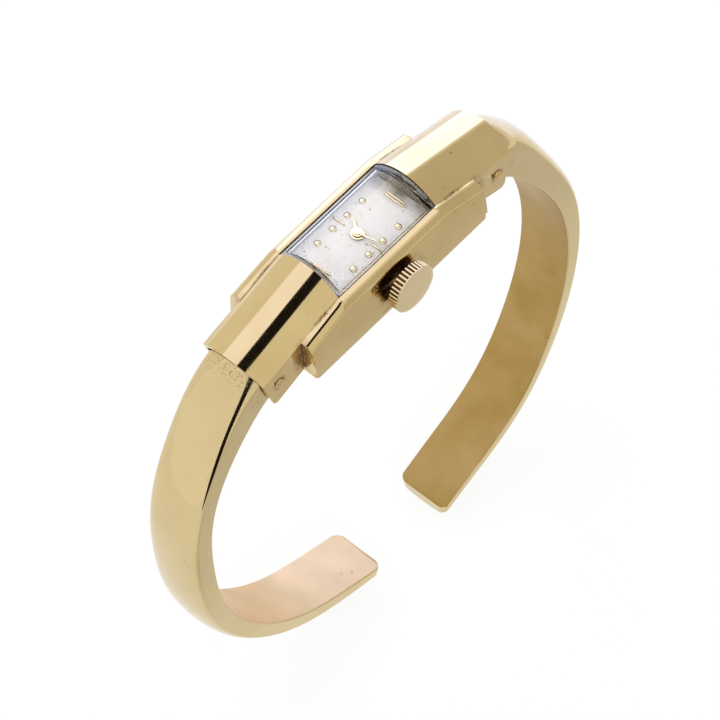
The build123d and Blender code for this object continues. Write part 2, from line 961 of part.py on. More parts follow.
# Sliding pinion on the stem's square
with BuildPart() as sliding_pinion:
    length = sliding_pinion_end - sliding_pinion_start
    plane = across(sliding_pinion_start)
    peg(plane, length, sliding_pinion_radius)
    with BuildSketch(across(sliding_groove_start)) as groove:
        Circle(sliding_pinion_radius)
        Circle(sliding_groove_radius, mode=Mode.SUBTRACT)
    groove_length = sliding_groove_end - sliding_groove_start
    extrude(groove.sketch, amount=groove_length, mode=Mode.SUBTRACT)
    square_hole = stem_square + bore_gap
    block(plane, length, square_hole, square_hole, Mode.SUBTRACT)
write(sliding_pinion.part, "sliding_pinion")

# Places of the train in plan
centre_place = (0, 0)
barrel_place = (0, barrel_y)
barrel_module = -2 * barrel_y / (barrel_teeth + centre_pinion_teeth)
third_distance = (centre_teeth + third_pinion_teeth) * centre_module / 2
third_place = turned(centre_place, third_angle, third_distance)
fourth_distance = (third_teeth + fourth_pinion_teeth) * third_module / 2
fourth_place = turned(third_place, fourth_angle, fourth_distance)
escape_distance = (fourth_teeth + escape_pinion_teeth) * fourth_module / 2
escape_place = turned(fourth_place, escape_angle, escape_distance)
pallet_place = turned(escape_place, pallet_angle, pallet_distance)
ratchet_distance = (ratchet_teeth + crown_wheel_teeth) * winding_module / 2
crown_wheel_x = math.sqrt(ratchet_distance**2 - barrel_y**2)
crown_wheel_place = (crown_wheel_x, 0)
minute_distance = (cannon_teeth + minute_teeth) * motion_module / 2
minute_place = turned(centre_place, minute_angle, minute_distance)
setting_place = (2 * minute_place[0], 0)
click_pivot = turned(barrel_place, click_angle, click_distance)
click_heading = direction(click_pivot, barrel_place) + click_lean
click_end = turned(click_pivot, click_heading, click_arm)
click_lifted = turned(click_pivot, click_heading + click_swing, click_arm)
train_places = [third_place, fourth_place, escape_place]
web_jewel_places = train_places + [pallet_place, balance_place]

# The stem's followers swing about their posts
groove_x = (stem_groove_start + stem_groove_end) / 2
sliding_groove_x = (sliding_groove_start + sliding_groove_end) / 2
lever_pin_place = (groove_x, 0)
yoke_pin_place = (sliding_groove_x, 0)
slot_side = lever_pin_radius + running_gap

# Mainplate, with the train's pocket below and the motion works' recess above
plate_length = plate_end_12 - plate_end_6
plate_middle = (0, (plate_end_12 + plate_end_6) / 2)
pocket_depth = plate_web_bottom - bridge_top
with BuildPart() as mainplate:
    block(
        at(plate_middle, bridge_top),
        plate_top - bridge_top,
        2 * plate_half_width,
        plate_length,
        Mode.ADD,
        plate_corner,
    )
    block(
        at(plate_middle, bridge_top),
        pocket_depth,
        2 * (plate_half_width - plate_wall),
        plate_length - 2 * plate_wall,
        Mode.SUBTRACT,
        plate_corner - plate_wall,
    )
    for place in barrel_bridge_screws + train_bridge_screws:
        peg(at(place, bridge_top), pocket_depth, post_radius)
    peg(at(cock_foot, bridge_top), pocket_depth, cock_foot_radius)
    cock_post = plate_web_bottom - pallet_cock_top
    peg(at(pallet_cock_foot, pallet_cock_top), cock_post, wide_post_radius)
    bearing_middle = (
        (stem_bearing_start + stem_bearing_end) / 2,
        (stem_bearing_near_y + stem_bearing_far_y) / 2,
    )
    block(
        at(bearing_middle, stem_bearing_bottom),
        plate_web_bottom - stem_bearing_bottom,
        stem_bearing_end - stem_bearing_start,
        stem_bearing_far_y - stem_bearing_near_y,
    )
    recess_middle = (
        (recess_left + recess_right) / 2,
        (recess_near_y + recess_far_y) / 2,
    )
    block(
        at(recess_middle, plate_web_top),
        plate_top - plate_web_top,
        recess_right - recess_left,
        recess_far_y - recess_near_y,
        Mode.SUBTRACT,
    )
    block(
        at((plate_half_width, lever_notch_y), plate_web_top),
        plate_top - plate_web_top,
        2 * (plate_half_width - lever_notch_start),
        lever_notch_width,
        Mode.SUBTRACT,
    )
    block(
        at((plate_half_width, 0), stem_height),
        plate_top - stem_height,
        2 * (plate_half_width - groove_x + slot_side),
        2 * slot_side,
        Mode.SUBTRACT,
    )
    pinion_length = winding_pinion_end - winding_pinion_start
    pinion_middle = ((winding_pinion_start + winding_pinion_end) / 2, 0)
    pinion_reach = outside_radius(winding_pinion_teeth, winding_module) + running_gap
    web_over_stem = plate_web_bottom - stem_height
    pinion_slot = math.sqrt(pinion_reach**2 - web_over_stem**2)
    block(
        at(pinion_middle, plate_web_bottom),
        plate_web_top - plate_web_bottom,
        pinion_length + 2 * running_gap,
        2 * pinion_slot,
        Mode.SUBTRACT,
    )
    yoke_slot_length = stem_pull + 2 * slot_side
    yoke_slot_middle = (sliding_groove_x - stem_pull / 2, 0)
    block(
        at(yoke_slot_middle, stem_height),
        plate_top - stem_height,
        yoke_slot_length,
        2 * slot_side,
        Mode.SUBTRACT,
    )
    window_depth = plate_web_top - setting_window_bottom
    setting_plane = at(setting_place, setting_window_bottom)
    peg(setting_plane, window_depth, setting_window_radius, Mode.SUBTRACT)
    setting_post_height = setting_bridge_height - setting_window_bottom
    peg(setting_plane, setting_post_height, setting_post_radius)
    for place in web_jewel_places:
        hole_plane = at(place, plate_web_bottom)
        peg(hole_plane, plate_top, jewel_radius + pin_fit, Mode.SUBTRACT)
    web_depth = plate_web_top - plate_web_bottom
    centre_hole = centre_arbor_radius + running_gap
    peg(at(centre_place, plate_web_bottom), web_depth, centre_hole, Mode.SUBTRACT)
    barrel_hole = arbor_pivot_radius + running_gap
    peg(at(barrel_place, plate_web_bottom), web_depth, barrel_hole, Mode.SUBTRACT)
    for place in (lever_pivot, yoke_pivot):
        post_height = lever_height + lever_thickness - plate_web_top
        peg(at(place, plate_web_top), post_height, lever_post_radius)
    bridge_post = setting_bridge_height - plate_web_top
    peg(at(setting_screw_place, plate_web_top), bridge_post, setting_post_radius)
    minute_post_height = minute_pinion_top - plate_web_top
    peg(at(minute_place, plate_web_top), minute_post_height, minute_post_radius)
    bearing_length = stem_bearing_end - stem_bearing_start
    bearing_hole = stem_pivot_radius + running_gap
    peg(across(stem_bearing_start), bearing_length, bearing_hole, Mode.SUBTRACT)
    stem_hole = stem_body_radius + running_gap
    peg(across(winding_pinion_end), plate_half_width, stem_hole, Mode.SUBTRACT)
    screw_hole = screw_shank_radius + pin_fit
    for place in barrel_bridge_screws + train_bridge_screws + [cock_foot]:
        peg(at(place, bridge_top), bridge_screw_depth, screw_hole, Mode.SUBTRACT)
    cock_screw_plane = at(pallet_cock_foot, pallet_cock_top)
    peg(cock_screw_plane, bridge_screw_depth, screw_hole, Mode.SUBTRACT)
write(mainplate.part, "mainplate")

# Ring that fills the chamber round the mainplate
with BuildPart() as movement_holder:
    holder_height = holder_top - holder_bottom
    block(
        Plane.XY.offset(holder_bottom),
        holder_height,
        2 * (chamber_half_width - holder_gap),
        2 * (chamber_half_length - holder_gap),
        Mode.ADD,
        chamber_corner - holder_gap,
    )
    block(
        at(plate_middle, holder_bottom),
        holder_height,
        2 * (plate_half_width + holder_gap),
        plate_length + 2 * holder_gap,
        Mode.SUBTRACT,
        plate_corner,
    )
    peg(across(plate_half_width), case_half_width, stem_hole, Mode.SUBTRACT)
write(movement_holder.part, "movement_holder")

# Bridges over the barrel and over the train
bridge_height = bridge_top - bridge_bottom
bridge_recess = bridge_recess_top - bridge_bottom
winding_gap = running_gap
with BuildPart() as barrel_bridge:
    with BuildSketch(Plane.XY.offset(bridge_bottom)) as outline:
        with BuildLine():
            Polyline(
                (-plate_half_width, plate_end_6),
                (plate_half_width, plate_end_6),
                (plate_half_width, crown_wheel_side_end),
                (crown_wheel_side, crown_wheel_side_end),
                (crown_wheel_side, barrel_bridge_end),
                (-plate_half_width, barrel_bridge_end),
                close=True,
            )
        make_face()
        chamfer(outline.vertices().sort_by(Axis.Y)[:2], plate_corner)
    extrude(amount=bridge_height)
    ratchet_recess = outside_radius(ratchet_teeth, winding_module) + winding_gap
    ratchet_plane = at(barrel_place, bridge_bottom)
    peg(ratchet_plane, bridge_recess, ratchet_recess, Mode.SUBTRACT, well_sides)
    crown_wheel_recess = outside_radius(crown_wheel_teeth, winding_module)
    crown_wheel_recess += winding_gap
    crown_wheel_plane = at(crown_wheel_place, bridge_bottom)
    crown_recess = crown_wheel_recess
    peg(crown_wheel_plane, bridge_recess, crown_recess, Mode.SUBTRACT, well_sides)
    click_plane = at(click_pivot, bridge_bottom)
    peg(click_plane, bridge_recess, click_radius + winding_gap, Mode.SUBTRACT)
    click_slot = click_width + 2 * winding_gap
    for end in (click_end, click_lifted):
        bar(bridge_bottom, bridge_recess, click_pivot, end, click_slot, Mode.SUBTRACT)
    peg(ratchet_plane, bridge_height, arbor_shank_radius + running_gap, Mode.SUBTRACT)
    centre_plane = at(centre_place, centre_pivot_end)
    centre_depth = bridge_top - centre_pivot_end
    peg(centre_plane, centre_depth, centre_pivot_radius + running_gap, Mode.SUBTRACT)
    block(
        at(pinion_middle, bridge_bottom),
        bridge_height,
        pinion_length + 2 * running_gap,
        2 * pinion_reach,
        Mode.SUBTRACT,
    )
    for place in barrel_bridge_screws:
        head_hole = bridge_screw_head + pin_fit
        peg(at(place, bridge_bottom), screw_head_height, head_hole, Mode.SUBTRACT)
        peg(at(place, bridge_bottom), bridge_height, screw_hole, Mode.SUBTRACT)
    for place in (click_pivot, crown_wheel_place):
        peg(at(place, bridge_bottom), bridge_height, screw_hole, Mode.SUBTRACT)
write(barrel_bridge.part, "barrel_bridge")

with BuildPart() as train_bridge:
    with BuildSketch(Plane.XY.offset(bridge_bottom)):
        with BuildLine():
            Polyline(
                (-plate_half_width, barrel_bridge_end + bridge_joint),
                (crown_wheel_side - bridge_joint, barrel_bridge_end + bridge_joint),
                (crown_wheel_side - bridge_joint, crown_wheel_side_end + bridge_joint),
                (plate_half_width, crown_wheel_side_end + bridge_joint),
                (plate_half_width, train_bridge_end),
                (-plate_half_width, train_bridge_end),
                close=True,
            )
        make_face()
        with Locations(balance_place):
            Circle(balance_cut_radius, mode=Mode.SUBTRACT)
    extrude(amount=bridge_height)
    for place in train_places:
        hole_plane = at(place, bridge_bottom)
        peg(hole_plane, bridge_height, jewel_radius + pin_fit, Mode.SUBTRACT)
    for place in train_bridge_screws:
        peg(at(place, bridge_bottom), screw_head_height, head_hole, Mode.SUBTRACT)
        peg(at(place, bridge_bottom), bridge_height, screw_hole, Mode.SUBTRACT)
write(train_bridge.part, "train_bridge")

# Bearing jewels
with BuildPart() as jewels:
    low_jewel = bridge_top - jewel_depth
    web_jewel = plate_web_bottom + jewel_web_depth
    cock_jewel = cock_top - jewel_depth
    jewel_planes = [at(place, low_jewel) for place in train_places]
    jewel_planes += [at(place, web_jewel) for place in web_jewel_places]
    jewel_planes += [at(balance_place, cock_jewel)]
    for plane in jewel_planes:
        peg(plane, jewel_depth, jewel_radius)
        peg(plane, jewel_depth, jewel_bore, Mode.SUBTRACT)
write(jewels.part, "jewels")


def coil(plane, height, start_radius, pitch, turns, thickness):
    """Adds a flat spiral strip, wound outwards from the plane's X direction."""
    edges = []
    for side in (-1, 1):
        edge = []
        for step in range(turns * coil_sides + 1):
            radius = start_radius + pitch * step / coil_sides + side * thickness / 2
            edge.append(turned((0, 0), 360 * step / coil_sides, radius))
        edges.append(edge)
    with BuildSketch(plane) as strip:
        with BuildLine():
            Polyline(*edges[0], *reversed(edges[1]), close=True)
        make_face()
    extrude(strip.sketch, amount=height)


# Barrel with its cover, arbor and mainspring
with BuildPart() as barrel:
    disc(at(barrel_place, drum_bottom), drum_top - drum_bottom, drum_radius)
    rim_plane = at(barrel_place, barrel_teeth_height)
    toothed(rim_plane, drum_top - barrel_teeth_height, barrel_teeth, barrel_module, 0)
    drum_inside = drum_radius - drum_wall
    inside_plane = at(barrel_place, drum_bottom + drum_floor)
    drum_depth = drum_top - drum_bottom
    peg(inside_plane, drum_depth, drum_inside, Mode.SUBTRACT, well_sides)
    floor_plane = at(barrel_place, drum_bottom)
    peg(floor_plane, drum_floor, arbor_shank_radius + running_gap, Mode.SUBTRACT)
write(barrel.part, "barrel")

with BuildPart() as barrel_cover:
    cover_bottom = drum_top - barrel_cover_thickness
    cover_plane = at(barrel_place, cover_bottom)
    cover_radius = drum_inside - pin_fit
    peg(cover_plane, barrel_cover_thickness, cover_radius, sides=well_sides)
    cover_hole = arbor_shank_radius + running_gap
    peg(cover_plane, barrel_cover_thickness, cover_hole, Mode.SUBTRACT)
write(barrel_cover.part, "barrel_cover")

core_bottom = drum_bottom + drum_floor + arbor_core_gap
core_top = cover_bottom - arbor_core_gap
ratchet_bottom = bridge_bottom
ratchet_top = ratchet_bottom + winding_wheel_thickness
with BuildPart() as barrel_arbor:
    square_plane = at(barrel_place, ratchet_bottom)
    square_side = ratchet_square - bore_gap
    block(square_plane, ratchet_top - ratchet_bottom, square_side, square_side)
    shank_plane = at(barrel_place, ratchet_top)
    peg(shank_plane, drum_top - ratchet_top, arbor_shank_radius)
    peg(at(barrel_place, core_bottom), core_top - core_bottom, arbor_core_radius)
    peg(at(barrel_place, drum_top), plate_web_top - drum_top, arbor_pivot_radius)
    peg(square_plane, bridge_height, screw_hole, Mode.SUBTRACT)
write(barrel_arbor.part, "barrel_arbor")

with BuildPart() as mainspring:
    half = mainspring_thickness / 2
    spring_start = arbor_core_radius + mainspring_gap + half
    spring_end = drum_inside - mainspring_gap - half
    spring_pitch = (spring_end - spring_start) / mainspring_turns
    coil(
        at(barrel_place, core_bottom),
        core_top - core_bottom,
        spring_start,
        spring_pitch,
        mainspring_turns,
        mainspring_thickness,
    )
write(mainspring.part, "mainspring")

# Ratchet wheel and crown wheel, let into the bridge, with their screws
crown_wheel_phase = 180 / crown_wheel_teeth
ratchet_heading = direction(crown_wheel_place, barrel_place)
ratchet_phase = meshed_phase(
    crown_wheel_phase, crown_wheel_teeth, ratchet_teeth, ratchet_heading
)
with BuildPart() as ratchet_wheel:
    thickness = winding_wheel_thickness
    plane = at(barrel_place, ratchet_bottom)
    toothed(plane, thickness, ratchet_teeth, winding_module, ratchet_phase)
    block(plane, thickness, ratchet_square, ratchet_square, Mode.SUBTRACT)
write(ratchet_wheel.part, "ratchet_wheel")

head_bottom = ratchet_bottom - seat_gap - screw_head_height
with BuildPart() as ratchet_screw:
    slotted_head(barrel_place, head_bottom, screw_head_height, ratchet_screw_radius)
    shank_bottom = head_bottom + screw_head_height
    shank_length = bridge_recess_top - shank_bottom
    peg(at(barrel_place, shank_bottom), shank_length, screw_shank_radius)
write(ratchet_screw.part, "ratchet_screw")

with BuildPart() as crown_wheel:
    plane = at(crown_wheel_place, ratchet_bottom)
    toothed(
        plane, thickness, crown_wheel_teeth, winding_module, crown_wheel_phase
    )
    peg(plane, thickness, crown_wheel_hub_radius + bore_gap, Mode.SUBTRACT)
write(crown_wheel.part, "crown_wheel")

with BuildPart() as crown_wheel_screw:
    place = crown_wheel_place
    slotted_head(place, head_bottom, screw_head_height, crown_wheel_screw_radius)
    hub_length = bridge_recess_top - shank_bottom
    peg(at(place, shank_bottom), hub_length, crown_wheel_hub_radius)
    peg(at(place, bridge_recess_top), bridge_recess, screw_shank_radius)
write(crown_wheel_screw.part, "crown_wheel_screw")

# Click
with BuildPart() as click:
    peg(at(click_pivot, ratchet_bottom), thickness, click_radius)
    bar(ratchet_bottom, thickness, click_pivot, click_end, click_width)
    click_hole = screw_shank_radius + running_gap
    peg(at(click_pivot, ratchet_bottom), thickness, click_hole, Mode.SUBTRACT)
write(click.part, "click")

# Wheels of the going train
low_arbor = bridge_top + bore_gap
high_arbor = plate_web_bottom - bore_gap
pivots_bottom = bridge_top - pivot_length
pivots_top = plate_web_bottom + pivot_length


def arbor(place, bottom):
    """Adds a train arbor with a pivot at each end."""
    peg(at(place, bottom), high_arbor - bottom, arbor_radius)
    low_pivot = min(pivots_bottom, bottom - pivot_length)
    peg(at(place, low_pivot), pivots_top - low_pivot, pivot_radius)


def spoked_wheel(place, height, teeth, module, phase):
    """Adds a spoked train wheel."""
    toothed(at(place, height), train_wheel_thickness, teeth, module, phase)
    spokes(at(place, height), train_wheel_thickness, teeth, module)


with BuildPart() as centre_wheel:
    spoked_wheel(centre_place, centre_wheel_height, centre_teeth, centre_module, 0)
    pinion_phase = meshed_phase(0, barrel_teeth, centre_pinion_teeth, 90)
    toothed(
        at(centre_place, centre_pinion_height),
        centre_pinion_top - centre_pinion_height,
        centre_pinion_teeth,
        barrel_module,
        pinion_phase,
    )
    arbor_top = cannon_top - running_gap - bore_gap
    peg(at(centre_place, low_arbor), arbor_top - low_arbor, centre_arbor_radius)
    pivot_height = low_arbor - centre_pivot_end - seat_gap
    centre_pivot_plane = at(centre_place, centre_pivot_end + seat_gap)
    peg(centre_pivot_plane, pivot_height, centre_pivot_radius)
write(centre_wheel.part, "centre_wheel")

with BuildPart() as third_wheel:
    spoked_wheel(third_place, third_wheel_height, third_teeth, third_module, 0)
    toothed(
        at(third_place, third_pinion_height),
        third_pinion_top - third_pinion_height,
        third_pinion_teeth,
        centre_module,
        meshed_phase(0, centre_teeth, third_pinion_teeth, third_angle),
    )
    arbor(third_place, low_arbor)
write(third_wheel.part, "third_wheel")

with BuildPart() as fourth_wheel:
    spoked_wheel(fourth_place, fourth_wheel_height, fourth_teeth, fourth_module, 0)
    toothed(
        at(fourth_place, fourth_pinion_height),
        fourth_pinion_top - fourth_pinion_height,
        fourth_pinion_teeth,
        third_module,
        meshed_phase(0, third_teeth, fourth_pinion_teeth, fourth_angle),
    )
    arbor(fourth_place, low_arbor)
write(fourth_wheel.part, "fourth_wheel")

with BuildPart() as escape_wheel:
    with BuildSketch(at(escape_place, escape_wheel_height)):
        with BuildLine():
            points = []
            root = escape_radius - escape_tooth_depth
            for tooth in range(escape_teeth):
                for turn, depth in escape_tooth_shares:
                    angle = (tooth + turn) * 360 / escape_teeth
                    reach = root + depth * escape_tooth_depth
                    points.append(turned((0, 0), angle, reach))
            Polyline(*points, close=True)
        make_face()
    extrude(amount=train_wheel_thickness)
    toothed(
        at(escape_place, escape_pinion_height),
        escape_pinion_top - escape_pinion_height,
        escape_pinion_teeth,
        fourth_module,
        meshed_phase(0, fourth_teeth, escape_pinion_teeth, escape_angle),
    )
    arbor(escape_place, low_arbor)
write(escape_wheel.part, "escape_wheel")

# Lever with its fork and two stones
fork_heading = direction(pallet_place, balance_place)
fork_tip = math.dist(pallet_place, balance_place) - fork_tip_gap
stone_start = escape_radius + pallet_stone_gap
stone_end = stone_start + pallet_stone_length
with BuildPart() as pallet_fork:
    for sense in (-1, 1):
        stone_angle = pallet_angle + sense * pallet_half_span
        arm_reach = stone_end + pallet_stone_gap + pallet_arm_width / 2
        arm_end = turned(escape_place, stone_angle, arm_reach)
        bar(pallet_height, pallet_thickness, pallet_place, arm_end, pallet_arm_width)
    fork_root = fork_tip - 2 * fork_slot_depth
    neck_end = turned(pallet_place, fork_heading, fork_root)
    bar(pallet_height, pallet_thickness, pallet_place, neck_end, pallet_arm_width)
    head_middle = turned(pallet_place, fork_heading, fork_tip - fork_slot_depth)
    head_plane = Plane(
        (head_middle[0], head_middle[1], pallet_height),
        x_dir=turned((0, 0), fork_heading, 1) + (0,),
    )
    block(head_plane, pallet_thickness, 2 * fork_slot_depth, fork_width)
    slot_middle = turned(pallet_place, fork_heading, fork_tip)
    slot_plane = Plane(
        (slot_middle[0], slot_middle[1], pallet_height),
        x_dir=turned((0, 0), fork_heading, 1) + (0,),
    )
    block(
        slot_plane, pallet_thickness, 2 * fork_slot_depth, fork_slot, Mode.SUBTRACT
    )
    arbor(pallet_place, pallet_cock_top + seat_gap)
write(pallet_fork.part, "pallet_fork")

with BuildPart() as pallet_stones:
    for sense in (-1, 1):
        stone_angle = pallet_angle + sense * pallet_half_span
        middle = turned(escape_place, stone_angle, (stone_start + stone_end) / 2)
        stone_plane = Plane(
            (middle[0], middle[1], pallet_height),
            x_dir=turned((0, 0), stone_angle, 1) + (0,),
        )
        block(
            stone_plane, pallet_thickness, pallet_stone_length, pallet_stone_width
        )
write(pallet_stones.part, "pallet_stones")

with BuildPart() as pallet_cock:
    cock_height = pallet_cock_top - pallet_cock_bottom
    bar(
        pallet_cock_bottom,
        cock_height,
        pallet_place,
        pallet_cock_foot,
        pallet_cock_width,
    )
    pallet_plane = at(pallet_place, pallet_cock_bottom)
    peg(pallet_plane, cock_height, jewel_bore, Mode.SUBTRACT)
    foot_plane = at(pallet_cock_foot, pallet_cock_bottom)
    peg(foot_plane, cock_height, screw_hole, Mode.SUBTRACT)
write(pallet_cock.part, "pallet_cock")

# Balance, roller and hairspring
with BuildPart() as balance_wheel:
    plane = at(balance_place, balance_bottom)
    with BuildSketch(plane) as rim:
        RegularPolygon(balance_radius, rim_sides)
        RegularPolygon(balance_radius - balance_rim, rim_sides, mode=Mode.SUBTRACT)
    extrude(rim.sketch, amount=balance_thickness)
    arm_reach = balance_radius - balance_rim
    bar(
        balance_bottom,
        balance_thickness,
        turned(balance_place, 0, arm_reach),
        turned(balance_place, 180, arm_reach),
        balance_arm_width,
    )
    peg(plane, balance_thickness, balance_hub_radius)
    peg(at(balance_place, staff_bottom), high_arbor - staff_bottom, staff_radius)
    collet_bottom = hairspring_bottom - seat_gap
    collet_height = hairspring_height + 2 * seat_gap
    peg(at(balance_place, collet_bottom), collet_height, collet_radius)
    low_pivot = cock_top - pivot_length
    peg(at(balance_place, low_pivot), pivots_top - low_pivot, pivot_radius)
write(balance_wheel.part, "balance_wheel")

with BuildPart() as roller:
    roller_plane = at(balance_place, roller_height)
    peg(roller_plane, roller_thickness, roller_radius)
    peg(roller_plane, roller_thickness, staff_radius + pin_fit, Mode.SUBTRACT)
    impulse_place = turned(balance_place, fork_heading + 180, impulse_pin_reach)
    impulse_plane = at(impulse_place, roller_height - impulse_pin_length)
    peg(impulse_plane, impulse_pin_length, impulse_pin_radius)
write(roller.part, "roller")

cock_heading = direction(balance_place, cock_foot)
hairspring_start = collet_radius + collet_gap + hairspring_thickness / 2
hairspring_end = hairspring_start + hairspring_turns * hairspring_pitch
with BuildPart() as hairspring:
    coil(
        Plane(
            (balance_place[0], balance_place[1], hairspring_bottom),
            x_dir=turned((0, 0), cock_heading, 1) + (0,),
        ),
        hairspring_height,
        hairspring_start,
        hairspring_pitch,
        hairspring_turns,
        hairspring_thickness,
    )
write(hairspring.part, "hairspring")

with BuildPart() as balance_cock:
    cock_height = cock_top - bridge_bottom
    bar(bridge_bottom, cock_height, balance_place, cock_foot, cock_width)
    peg(at(cock_foot, bridge_bottom), bridge_height, cock_foot_radius)
    cock_plane = at(balance_place, bridge_bottom)
    peg(cock_plane, cock_height, jewel_radius + pin_fit, Mode.SUBTRACT)
    stud_reach = hairspring_end + hairspring_thickness / 2 + stud_radius + pin_fit
    stud_place = turned(balance_place, cock_heading, stud_reach)
    stud_height = hairspring_bottom + hairspring_height - cock_top
    peg(at(stud_place, cock_top), stud_height, stud_radius)
    peg(at(cock_foot, bridge_bottom), screw_head_height, head_hole, Mode.SUBTRACT)
    peg(at(cock_foot, bridge_bottom), bridge_height, screw_hole, Mode.SUBTRACT)
write(balance_cock.part, "balance_cock")

with BuildPart() as regulator:
    regulator_bottom = bridge_bottom - regulator_thickness
    regulator_heading = cock_heading + regulator_angle
    tail = turned(balance_place, regulator_heading, regulator_length)
    bar(
        regulator_bottom, regulator_thickness, balance_place, tail, regulator_width
    )
    plane = at(balance_place, regulator_bottom)
    peg(plane, regulator_thickness, regulator_radius)
    peg(plane, regulator_thickness, jewel_radius, Mode.SUBTRACT)
    pin_reach = hairspring_end + hairspring_thickness / 2
    pin_reach += regulator_pin_radius + seat_gap
    regulator_pin_place = turned(balance_place, regulator_heading, pin_reach)
    pin_length = hairspring_bottom + hairspring_height - bridge_bottom
    peg(at(regulator_pin_place, bridge_bottom), pin_length, regulator_pin_radius)
write(regulator.part, "regulator")

# Setting works
lever_pin_bottom = stem_height + stem_groove_radius + running_gap
yoke_pin_bottom = stem_height + sliding_groove_radius + running_gap
with BuildPart() as setting_lever:
    peg(at(lever_pivot, lever_height), lever_thickness, lever_boss_radius)
    bar(
        lever_height, lever_thickness, lever_pivot, lever_pin_place, lever_finger_width
    )
    pin_length = lever_height - lever_pin_bottom
    peg(at(lever_pin_place, lever_pin_bottom), pin_length, lever_pin_radius)
    lever_hole = lever_post_radius + bore_gap
    lever_plane = at(lever_pivot, lever_height)
    peg(lever_plane, lever_thickness, lever_hole, Mode.SUBTRACT)
write(setting_lever.part, "setting_lever")

with BuildPart() as yoke:
    peg(at(yoke_pivot, lever_height), lever_thickness, yoke_boss_radius)
    bar(
        lever_height, lever_thickness, yoke_pivot, yoke_pin_place, lever_finger_width
    )
    pin_length = lever_height - yoke_pin_bottom
    peg(at(yoke_pin_place, yoke_pin_bottom), pin_length, lever_pin_radius)
    yoke_plane = at(yoke_pivot, lever_height)
    peg(yoke_plane, lever_thickness, lever_hole, Mode.SUBTRACT)
write(yoke.part, "yoke")

minute_phase = meshed_phase(0, cannon_teeth, minute_teeth, minute_angle)
with BuildPart() as setting_wheel:
    plane = at(setting_place, setting_bottom)
    height = setting_top - setting_bottom
    setting_phase = meshed_phase(
        minute_phase, minute_teeth, setting_teeth, -minute_angle
    )
    toothed(plane, height, setting_teeth, motion_module, setting_phase)
    peg(plane, height, setting_post_radius + bore_gap, Mode.SUBTRACT)
write(setting_wheel.part, "setting_wheel")

with BuildPart() as setting_bridge:
    bar(
        setting_bridge_height,
        setting_bridge_thickness,
        setting_place,
        setting_screw_place,
        setting_bridge_width,
    )
    plane = at(setting_screw_place, setting_bridge_height)
    peg(plane, setting_bridge_thickness, screw_hole, Mode.SUBTRACT)
write(setting_bridge.part, "setting_bridge")

# Motion works
with BuildPart() as cannon_pinion:
    plane = at(centre_place, cannon_bottom)
    height = cannon_pinion_top - cannon_bottom
    toothed(plane, height, cannon_teeth, motion_module, 0)
    disc(plane, cannon_top - cannon_bottom, cannon_pipe_radius)
    bore_depth = cannon_top - running_gap - cannon_bottom
    peg(plane, bore_depth, cannon_bore_radius, Mode.SUBTRACT)
write(cannon_pinion.part, "cannon_pinion")

with BuildPart() as minute_wheel:
    plane = at(minute_place, minute_wheel_height)
    toothed(plane, minute_wheel_thickness, minute_teeth, motion_module, minute_phase)
    pinion_height = minute_pinion_top - minute_wheel_height
    toothed(plane, pinion_height, minute_pinion_teeth, motion_module, 0)
    peg(plane, pinion_height, minute_post_radius + bore_gap, Mode.SUBTRACT)
write(minute_wheel.part, "minute_wheel")

with BuildPart() as hour_wheel:
    plane = at(centre_place, hour_wheel_height)
    hour_phase = meshed_phase(
        0, minute_pinion_teeth, hour_teeth, minute_angle + 180
    )
    toothed(plane, hour_wheel_thickness, hour_teeth, motion_module, hour_phase)
    pipe_height = hour_pipe_top - hour_wheel_height
    disc(plane, pipe_height, hour_pipe_radius)
    peg(plane, pipe_height, hour_pipe_bore, Mode.SUBTRACT)
write(hour_wheel.part, "hour_wheel")

# Dial with its applied markers
dial_bottom = dial_top - dial_thickness
with BuildPart() as dial:
    plane = Plane.XY.offset(dial_bottom)
    block(plane, dial_thickness, 2 * dial_half_width, 2 * dial_half_length)
    disc(plane, dial_thickness, dial_hole_radius, Mode.SUBTRACT)
write(dial.part, "dial")

with BuildPart() as hour_dots:
    with BuildSketch(Plane.XY.offset(dial_top)):
        dot_places = [
            (side * dot_x, end * y)
            for side in (-1, 1)
            for end in (-1, 1)
            for y in (dot_near_y, dot_far_y)
        ]
        with Locations(*dot_places):
            RegularPolygon(dot_radius, dot_sides)
    extrude(amount=dot_rise, taper=dot_taper)
write(hour_dots.part, "hour_dots")

with BuildPart() as hour_bars:
    for side in (-1, 1):
        inner_end = (side * side_bar_start, 0)
        outer_end = (side * side_bar_end, 0)
        bar(dial_top, bar_rise, inner_end, outer_end, bar_width)
        for shift in (-1, 1):
            bar_y = side * end_bar_y + shift * end_bar_pitch / 2
            left_end = (-end_bar_half_length, bar_y)
            right_end = (end_bar_half_length, bar_y)
            bar(dial_top, bar_rise, left_end, right_end, bar_width)
write(hour_bars.part, "hour_bars")


def hand(height, thickness, length, width, boss, bore, angle):
    """Adds a tapered hand with a round boss to the part in hand."""
    plane = Plane((0, 0, height), x_dir=turned((0, 0), angle, 1) + (0,))
    with BuildSketch(plane) as outline:
        with BuildLine():
            Polyline(
                (0, width / 2),
                (length, hand_tip_width / 2),
                (length, -hand_tip_width / 2),
                (0, -width / 2),
                close=True,
            )
        make_face()
        RegularPolygon(boss, well_sides)
        RegularPolygon(bore, pin_sides, major_radius=False, mode=Mode.SUBTRACT)
    extrude(outline.sketch, amount=thickness)


with BuildPart() as hour_hand:
    hand(
        hour_hand_height,
        hour_hand_thickness,
        hour_hand_length,
        hour_hand_width,
        hour_boss_radius,
        hour_pipe_radius + pin_fit,
        hour_hand_angle,
    )
write(hour_hand.part, "hour_hand")

with BuildPart() as minute_hand:
    hand(
        minute_hand_height,
        minute_hand_thickness,
        minute_hand_length,
        minute_hand_width,
        minute_boss_radius,
        cannon_pipe_radius + pin_fit,
        minute_hand_angle,
    )
write(minute_hand.part, "minute_hand")


